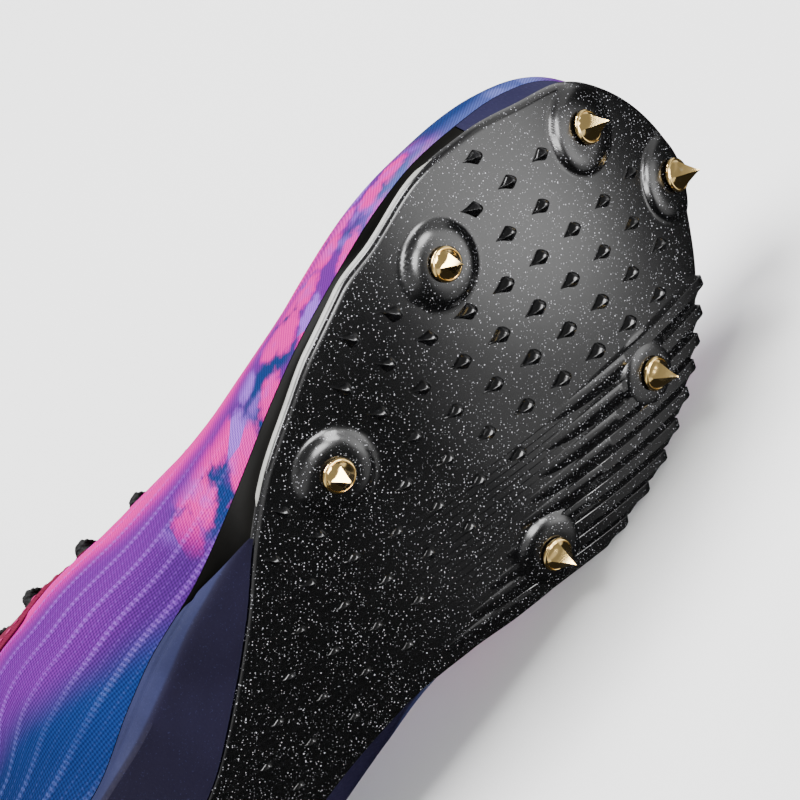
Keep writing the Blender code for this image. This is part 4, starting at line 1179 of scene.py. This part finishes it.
# soft folds over the toes, beside the collar and at the heel:
# (turn, level, lean, half length, width, depth)
folds = (
    (0.235, 0.74, 0.10, 0.20, 0.010, 0.50 * mm), (0.262, 0.66, 0.16, 0.24, 0.013, 0.60 * mm),
    (-0.240, 0.72, 0.12, 0.22, 0.011, 0.55 * mm), (-0.275, 0.62, 0.18, 0.26, 0.014, 0.60 * mm),
    (0.655, 0.42, -0.25, 0.26, 0.016, 0.55 * mm), (-0.665, 0.45, -0.22, 0.26, 0.017, 0.55 * mm),
    (0.905, 0.50, 0.05, 0.24, 0.016, 0.45 * mm), (-0.900, 0.48, 0.06, 0.22, 0.016, 0.45 * mm),
)


def skinRelief(turn, level):  # knitted ridges along the side, and the folds pressed into them
    zone = ease((abs(turn) - knitRibs["start"]) / (knitRibs["full"] - knitRibs["start"]))
    wave = math.cos(2 * math.pi * (level * knitRibs["count"] - abs(turn) * knitRibs["slant"]))
    edge = ease(level * 12) * ease((0.95 - level) * 8)
    rise = knitRibs["height"] * zone * edge * max(0.0, wave) ** 2
    for foldTurn, foldLevel, lean, half, wide, depth in folds:
        along = (level - foldLevel) / half
        if abs(along) < 1:
            away = (turn - foldTurn - lean * (level - foldLevel) * 0.2) / wide
            press = math.exp(-away * away) - 0.5 * math.exp(-(away - 1.9) ** 2)
            rise -= depth * (1 - along * along) ** 2 * press
    return rise


def lipFrame(turn, grow=0.0):  # middle of the wall's top edge, then half its width and height
    outer, inner = skin(turn, 1.0), skin(turn, 1.0, wallAt(turn))
    up = (outer - skin(turn, 0.96)).normalized()
    reach = (outer - inner).length / 2 + grow
    return (outer + inner) / 2, (outer - inner).normalized() * reach, up * reach * 0.9


def makeUpper():
    levels, innerLevels = upperParts["levels"], upperParts["innerLevels"]
    count = levels + innerLevels + 3

    def rowAt(turn):
        wall = wallAt(turn)
        points = [skin(turn, level, -skinRelief(turn, level)) for level in shares(levels)]
        inside = [skin(turn, level, wall) for level in shares(innerLevels)[::-1]]
        inside[-1].z = points[0].z
        middle, _, up = lipFrame(turn)
        return points + [middle + up.normalized() * wall * upperParts["lipRise"]] + inside

    def uvAt(share, around):  # turn and level outside, and past 1 inside
        k = around * count
        inner = 1 + (k - levels) / upperParts["liningScale"]
        return -1 + 2 * share, k / levels if k <= levels else inner

    upper = loft([rowAt(-1 + 2 * share) for share in shares(upperParts["stations"])], uvAt)
    uvLayer = upper.loops.layers.uv.active
    for face in upper.faces:
        if max(loop[uvLayer].uv.y for loop in face.loops) > upperParts["liningFrom"]:
            face.material_index = 1  # the lining
    finishPiece(facedOut(upper), "upperSkin", [upperKnit, liningCloth], ("upper",))


eyestay = {
    "low": 0.80, "dip": 0.20, "dipStart": 0.50, "dipRun": 0.10, "toeRise": 0.06, "toeTurn": 0.30,
    "end": 18 / 28, "wall": 1.0 * mm, "gap": 0.25 * mm, "stations": 220, "steps": 16, "underSteps": 6,
}
eyeletTurns = (0.285, 0.355, 0.425, 0.495, 0.565, 0.632)


def eyestayTurns(count):
    return [-eyestay["end"] + 2 * eyestay["end"] * share for share in shares(count)]


def eyestayLow(turn):
    rise = eyestay["toeRise"] * max(0.0, 1 - abs(turn) / eyestay["toeTurn"])
    dip = eyestay["dip"] * ease((abs(turn) - eyestay["dipStart"]) / eyestay["dipRun"])
    return eyestay["low"] + rise - dip


def makeEyestay():
    steps, gap = eyestay["steps"], eyestay["gap"]

    def rowAt(turn):
        low = eyestayLow(turn)
        top = []
        for k in range(steps + 1):
            rounded = min(1.0, ease(min(k, steps - k) / 2 + 0.35))
            top.append(skin(turn, low + (1 - low) * k / steps, -gap - eyestay["wall"] * rounded))
        under = shares(eyestay["underSteps"])[::-1]
        return top + [skin(turn, low + (1 - low) * share, -gap) for share in under]

    band = closedLoft([rowAt(turn) for turn in eyestayTurns(eyestay["stations"])])
    finishPiece(facedOut(band), "eyestayBand", [crimsonCloth], ("eyestay",))


eyelet = {
    "level": 0.865, "reach": 2.6 * mm, "wall": 0.45 * mm, "lift": 0.15 * mm, "around": 20, "section": 8,
}


def skinFrame(turn, level, lift):  # Z out of the skin, X along it
    along = (skinPoint(turn + 0.01, level) - skinPoint(turn - 0.01, level)).normalized()
    out = skinNormal(turn, level)
    side = out.cross(along).normalized()
    turned = Matrix((side.cross(out), side, out)).transposed().to_4x4()
    return Matrix.Translation(skin(turn, level) + out * lift) @ turned


def ringMesh():
    ways = [Vector((math.cos(2 * math.pi * share), math.sin(2 * math.pi * share), 0))
            for share in shares(eyelet["around"])]
    reach, wall, section = eyelet["reach"], eyelet["wall"], eyelet["section"]
    return loft([ring(way * reach, way * wall, Vector((0, 0, wall)), section) for way in ways])


def holeShadeDisc():
    bm = bmesh.new()
    bmesh.ops.create_circle(bm, cap_ends=True, segments=eyelet["around"], radius=eyelet["reach"])
    # painted shade: the disc takes the lining's dark to stand for the shaded hole of each eyelet
    for face in bm.faces:
        face.material_index = 1  # the dark inside
    return bm


def makeEyelets():
    joined = bmesh.new()
    lift = eyestay["gap"] + eyestay["wall"] + eyelet["lift"]
    for turn in eyeletTurns:
        for side in (1, -1):
            place = skinFrame(side * turn, eyelet["level"], lift)
            addShape(joined, holeShadeDisc(), place)
            addShape(joined, ringMesh(), place)
    finishPiece(joined, "eyeletRings", [eyeletDark, liningCloth], (), 50)


stitches = {
    "pitch": 0.0125, "long": 0.95 * mm, "wide": 0.24 * mm, "high": 0.22 * mm, "inset": 0.022,
    "around": 6, "along": 4,
}


def stitchMesh():  # a short thread, thick in the middle
    def rowAt(reach):
        bulge = math.sqrt(max(0.04, 1 - reach ** 2))
        return ring(Vector((reach * stitches["long"], 0, 0)), Vector((0, stitches["wide"] * bulge, 0)),
                    Vector((0, 0, stitches["high"] * bulge)), stitches["around"])

    return closedLoft([rowAt(2 * share - 1) for share in shares(stitches["along"])])


def makeStitches():
    joined = bmesh.new()
    turns = eyestayTurns(round(2 * eyestay["end"] / stitches["pitch"]))
    for turn in turns[1:-1]:
        place = skinFrame(turn, eyestayLow(turn) + stitches["inset"], eyestay["gap"] + eyestay["wall"])
        addShape(joined, stitchMesh(), place)
    finishPiece(facedOut(joined), "eyestayStitches", [threadPink])


binding = {"start": 0.652, "stations": 130, "around": 12, "grow": 0.35 * mm}


def makeBinding():  # rolled edge of the collar, from one end of the throat round to the other
    start = binding["start"]
    turns = [start + 2 * (1 - start) * share for share in shares(binding["stations"])]
    roll = closedLoft([ring(*lipFrame(turn, binding["grow"]), binding["around"]) for turn in turns])
    finishPiece(facedOut(roll), "collarBinding", [bindingCloth])


tongue = {
    "start": 0.16, "end": 0.625, "settle": 0.12, "dip": 1.2 * mm, "top": 24 * mm, "rise": 0.10,
    "levels": (0.84, 0.88, 0.92, 0.96, 0.99), "underVamp": 0.08, "wall": 2.4 * mm, "rows": 60,
    "middle": 16, "tip": ((0.2, 0.30), (0.4, 0.31), (0.6, 0.34), (0.8, 0.41), (1.0, 0.52)),
    "edge": 0.5 * mm,
}


def tongueRow(turn, drop=0.0):
    settled = ease((turn - tongue["start"]) / tongue["settle"])
    wall = wallAt(turn) + 2 * shoe["gap"] + tongue["dip"] * (1 - settled)
    outer, inner = ([skin(side * turn, level - drop, wall) for level in tongue["levels"]]
                    for side in (1, -1))
    left, right = outer[-1], inner[-1]
    bulge = (right - left).length * tongue["rise"] * settled
    middle = [left.lerp(right, share) + Vector((0, 0, bulge * math.sin(math.pi * share)))
              for share in shares(tongue["middle"])[1:-1]]
    return outer + middle + inner[::-1]


def tongueRows():
    span = tongue["end"] - tongue["start"]
    rows = [tongueRow(tongue["start"], tongue["underVamp"])]
    rows += [tongueRow(tongue["start"] + span * share) for share in shares(tongue["rows"])]
    last, middle = rows[-1], len(rows[0]) // 2
    run = (last[middle] - rows[-2][middle]).normalized() * tongue["top"]
    for share, narrow in tongue["tip"]:
        sink = Vector((0, 0, -tongue["dip"] * (1 - share)))
        inward = [narrow * abs(2 * part - 1) for part in shares(len(last) - 1)]
        rows.append([point.lerp(last[middle], amount) + run * share + sink
                     for point, amount in zip(last, inward)])
    return rows


def makeTongue():
    rows = tongueRows()
    middle = len(rows[0]) // 2

    def rowAt(i):
        top, under = rows[i], []
        along = rows[min(len(rows) - 1, i + 1)][middle] - rows[max(0, i - 1)][middle]
        for k, point in enumerate(top):
            across = top[min(len(top) - 1, k + 1)] - top[max(0, k - 1)]
            under.append(point - across.cross(along).normalized() * tongue["wall"])
        first, last = (top[end].lerp(under[end], 0.5)
                       + (top[end] - top[beside]).normalized() * tongue["edge"]
                       for end, beside in ((0, 1), (-1, -2)))
        return top + [last] + under[::-1] + [first]

    pad = closedLoft([rowAt(i) for i in range(len(rows))])
    finishPiece(facedOut(pad), "tonguePad", [pinkCloth], ("tongue",))


# Laces

lace = {
    "width": 3.6 * mm, "wall": 1.7 * mm, "arch": 2.5 * mm, "layer": 0.4, "stations": 210, "around": 16,
    "overEdge": ((0.0, 0.875), (0.05, 0.90), (0.10, 0.945), (0.20, 1.00)),
    "knot": 1.2 * mm, "swell": 0.26,
    "rest": 0.4 * mm, "hole": -0.2 * mm, "turnedUp": 0.9 * mm, "turnedShare": 0.08, "step": 0.4 * mm,
}


def laceStops(start, stop, layer):
    lift = lace["rest"] + eyestay["wall"] + shoe["gap"] + lace["wall"] * (0.5 + layer * lace["layer"])
    rows = []
    for a, b, sign in ((start, stop, 1), (stop, start, -1)):
        row = [(skin(sign * a, eyelet["level"], lace["hole"]), skinNormal(sign * a, eyelet["level"]))]
        for share, level in lace["overEdge"]:
            turn = sign * (a + (b - a) * share)
            extra = lace["turnedUp"] if share < lace["turnedShare"] else 0.0
            row.append((skin(turn, level, -lift - extra), skinNormal(turn, level)))
        rows.append(row)
    middle = (rows[0][-1][0] + rows[1][-1][0]) / 2
    up = (rows[0][-1][1] + rows[1][-1][1]).normalized()
    return rows[0] + [(middle + up * lace["arch"], up)] + rows[1][::-1]


def laceMesh(start, stop, layer):
    spots, ups = zip(*laceStops(start, stop, layer))
    lengths = [0.0]
    for a, b in zip(spots, spots[1:]):
        lengths.append(lengths[-1] + (b - a).length)

    def between(points, distance):
        distance = max(0.0, min(lengths[-1], distance))
        return Vector([smoothCurve(lengths, axis, distance) for axis in zip(*points)])

    def rowAt(distance):
        spot = between(spots, distance)
        run = between(spots, distance + lace["step"]) - between(spots, distance - lace["step"])
        side = run.cross(between(ups, distance)).normalized()
        up = side.cross(run).normalized()
        twist = 2 * math.pi * distance / lace["knot"]
        points = []
        for angle in angles(lace["around"]):
            plait = math.sin(twist + 0.6 * math.sin(2 * angle)) * math.cos(2.5 * angle + 0.4)
            swell = 1 + lace["swell"] * plait
            points.append(spot + side * (math.cos(angle) * lace["width"] / 2 * swell * 0.95)
                          + up * (math.sin(angle) * lace["wall"] / 2 * swell))
        return points

    return facedOut(closedLoft([rowAt(lengths[-1] * share) for share in shares(lace["stations"])]))


def makeLaces():
    laces = laceMesh(eyeletTurns[0], eyeletTurns[0], 0.5)
    for lower, upper in zip(eyeletTurns, eyeletTurns[1:]):
        addShape(laces, laceMesh(lower, upper, 0))
        addShape(laces, laceMesh(upper, lower, 1))
    finishPiece(facedOut(laces), "laceSet", [laceBlack], ("laces",))


# Floor, light and camera

stage = {
    "floor": 3.0, "horizon": 1.15, "above": 0.35, "below": 0.03, "lightAim": Vector((0.05, 0.0, 0.05)),
    "horizonRise": (-0.22, -0.03), "skyFade": (0.20, 0.55), "panels": (
        # the way to each panel of light, its strength, and where it starts and is full
        ((0.70, -0.62, -0.36), 3.3, (0.885, 0.996)),
        ((0.47, -0.60, -0.645), 0.92, (0.88, 0.985)),
        ((0.22, -0.955, 0.19), 20.0, (0.968, 0.992)),
        ((0.60, -0.770, 0.20), 20.0, (0.968, 0.992)),
    ),
}


def makeFloor():
    bm = bmesh.new()
    bmesh.ops.create_grid(bm, x_segments=8, y_segments=8, size=stage["floor"])
    floor = addMesh("floor", bm)
    paint = Paint("paleFloor", roughness=0.9)
    paint.give(base_color=paint.mix(paint.noise(3.0), (0.88, 0.88, 0.88), (0.90, 0.90, 0.90)))
    floor.data.materials.append(paint.made)
    floor.visible_glossy = False  # the gloss shows the soft panel and not the floor


def areaLight(name, place, size, power):
    data = bpy.data.lights.new(name, "AREA")
    data.shape = "RECTANGLE"
    data.size, data.size_y = size
    data.energy = power
    light = addObject(name, data)
    light.location = place
    light.rotation_euler = (stage["lightAim"] - Vector(place)).to_track_quat("-Z", "Y").to_euler()


def makeLights():
    world = bpy.data.worlds.new("studio")
    world.use_nodes = True
    bpy.context.scene.world = world
    graph = Graph(world.node_tree)
    way = graph.node("TexCoord", out="Generated")
    rise = graph.part(way, 2)
    horizon, above, below = stage["horizon"], stage["above"], stage["below"]
    glow = below + graph.step(rise, *stage["horizonRise"]) * (horizon - below)
    glow = glow - graph.step(rise, *stage["skyFade"]) * (horizon - above)
    for panelWay, strength, reach in stage["panels"]:
        facing = graph.node("VectorMath", {"operation": "DOT_PRODUCT"},
                            {0: way, 1: Vector(panelWay).normalized()}, out=1)
        share = graph.step(facing, *reach)
        glow = glow + share * share * strength
    background = graph.nodes["Background"].inputs
    graph.feed(background["Strength"], glow)
    graph.feed(background["Color"], (1, 1, 1))
    areaLight("keySoft", stage["lightAim"] + Vector((0.35, 0.32, 0.88)) * 1.3, (0.45, 0.30), 14)
    areaLight("topSoft", (-0.2, 0.1, 1.5), (0.9, 0.9), 58)


photoView = {
    "right": Vector((0.49104, 0.70063, -0.51769)), "up": Vector((0.87102, -0.40451, 0.27873)),
    "toward": Vector((-0.01412, -0.58779, -0.80889)), "target": Vector((0.19185, 0, 0.00287)),
    "distance": 0.860, "focus": 3960.0, "centre": (450.0, 450.0), "frame": 800.0, "sensor": 36.0,
}


def makeCamera():
    data = bpy.data.cameras.new("camera")
    camera = addObject("camera", data)
    right, up, toward = photoView["right"], photoView["up"], photoView["toward"]
    place = photoView["target"] + toward * photoView["distance"]
    shiftRight, shiftUp = ((photoView["frame"] / 2 - middle) / photoView["focus"]
                           for middle in photoView["centre"])
    back = (toward - right * shiftRight + up * shiftUp).normalized()
    side = up.cross(back).normalized()
    rise = back.cross(side).normalized()
    turn = lie.to_3x3()
    axes = Matrix((turn @ side, turn @ rise, turn @ back)).transposed().to_4x4()
    camera.matrix_world = Matrix.Translation(lie @ place) @ axes
    data.sensor_width = photoView["sensor"]
    data.lens = photoView["focus"] / photoView["frame"] * photoView["sensor"]
    data.clip_start, data.clip_end = 0.01, 20.0
    bpy.context.scene.camera = camera


for make in (makeCamera, makeLights, makeFloor):
    make()
print("stage ready")
for make in (makePlate, makeTeeth, makeSpikes, makeSideUnit, makeMidsole, makeFootbed, makeRimHighlight,
             makeUpper, makeEyestay, makeEyelets, makeStitches, makeBinding, makeTongue, makeLaces):
    make()
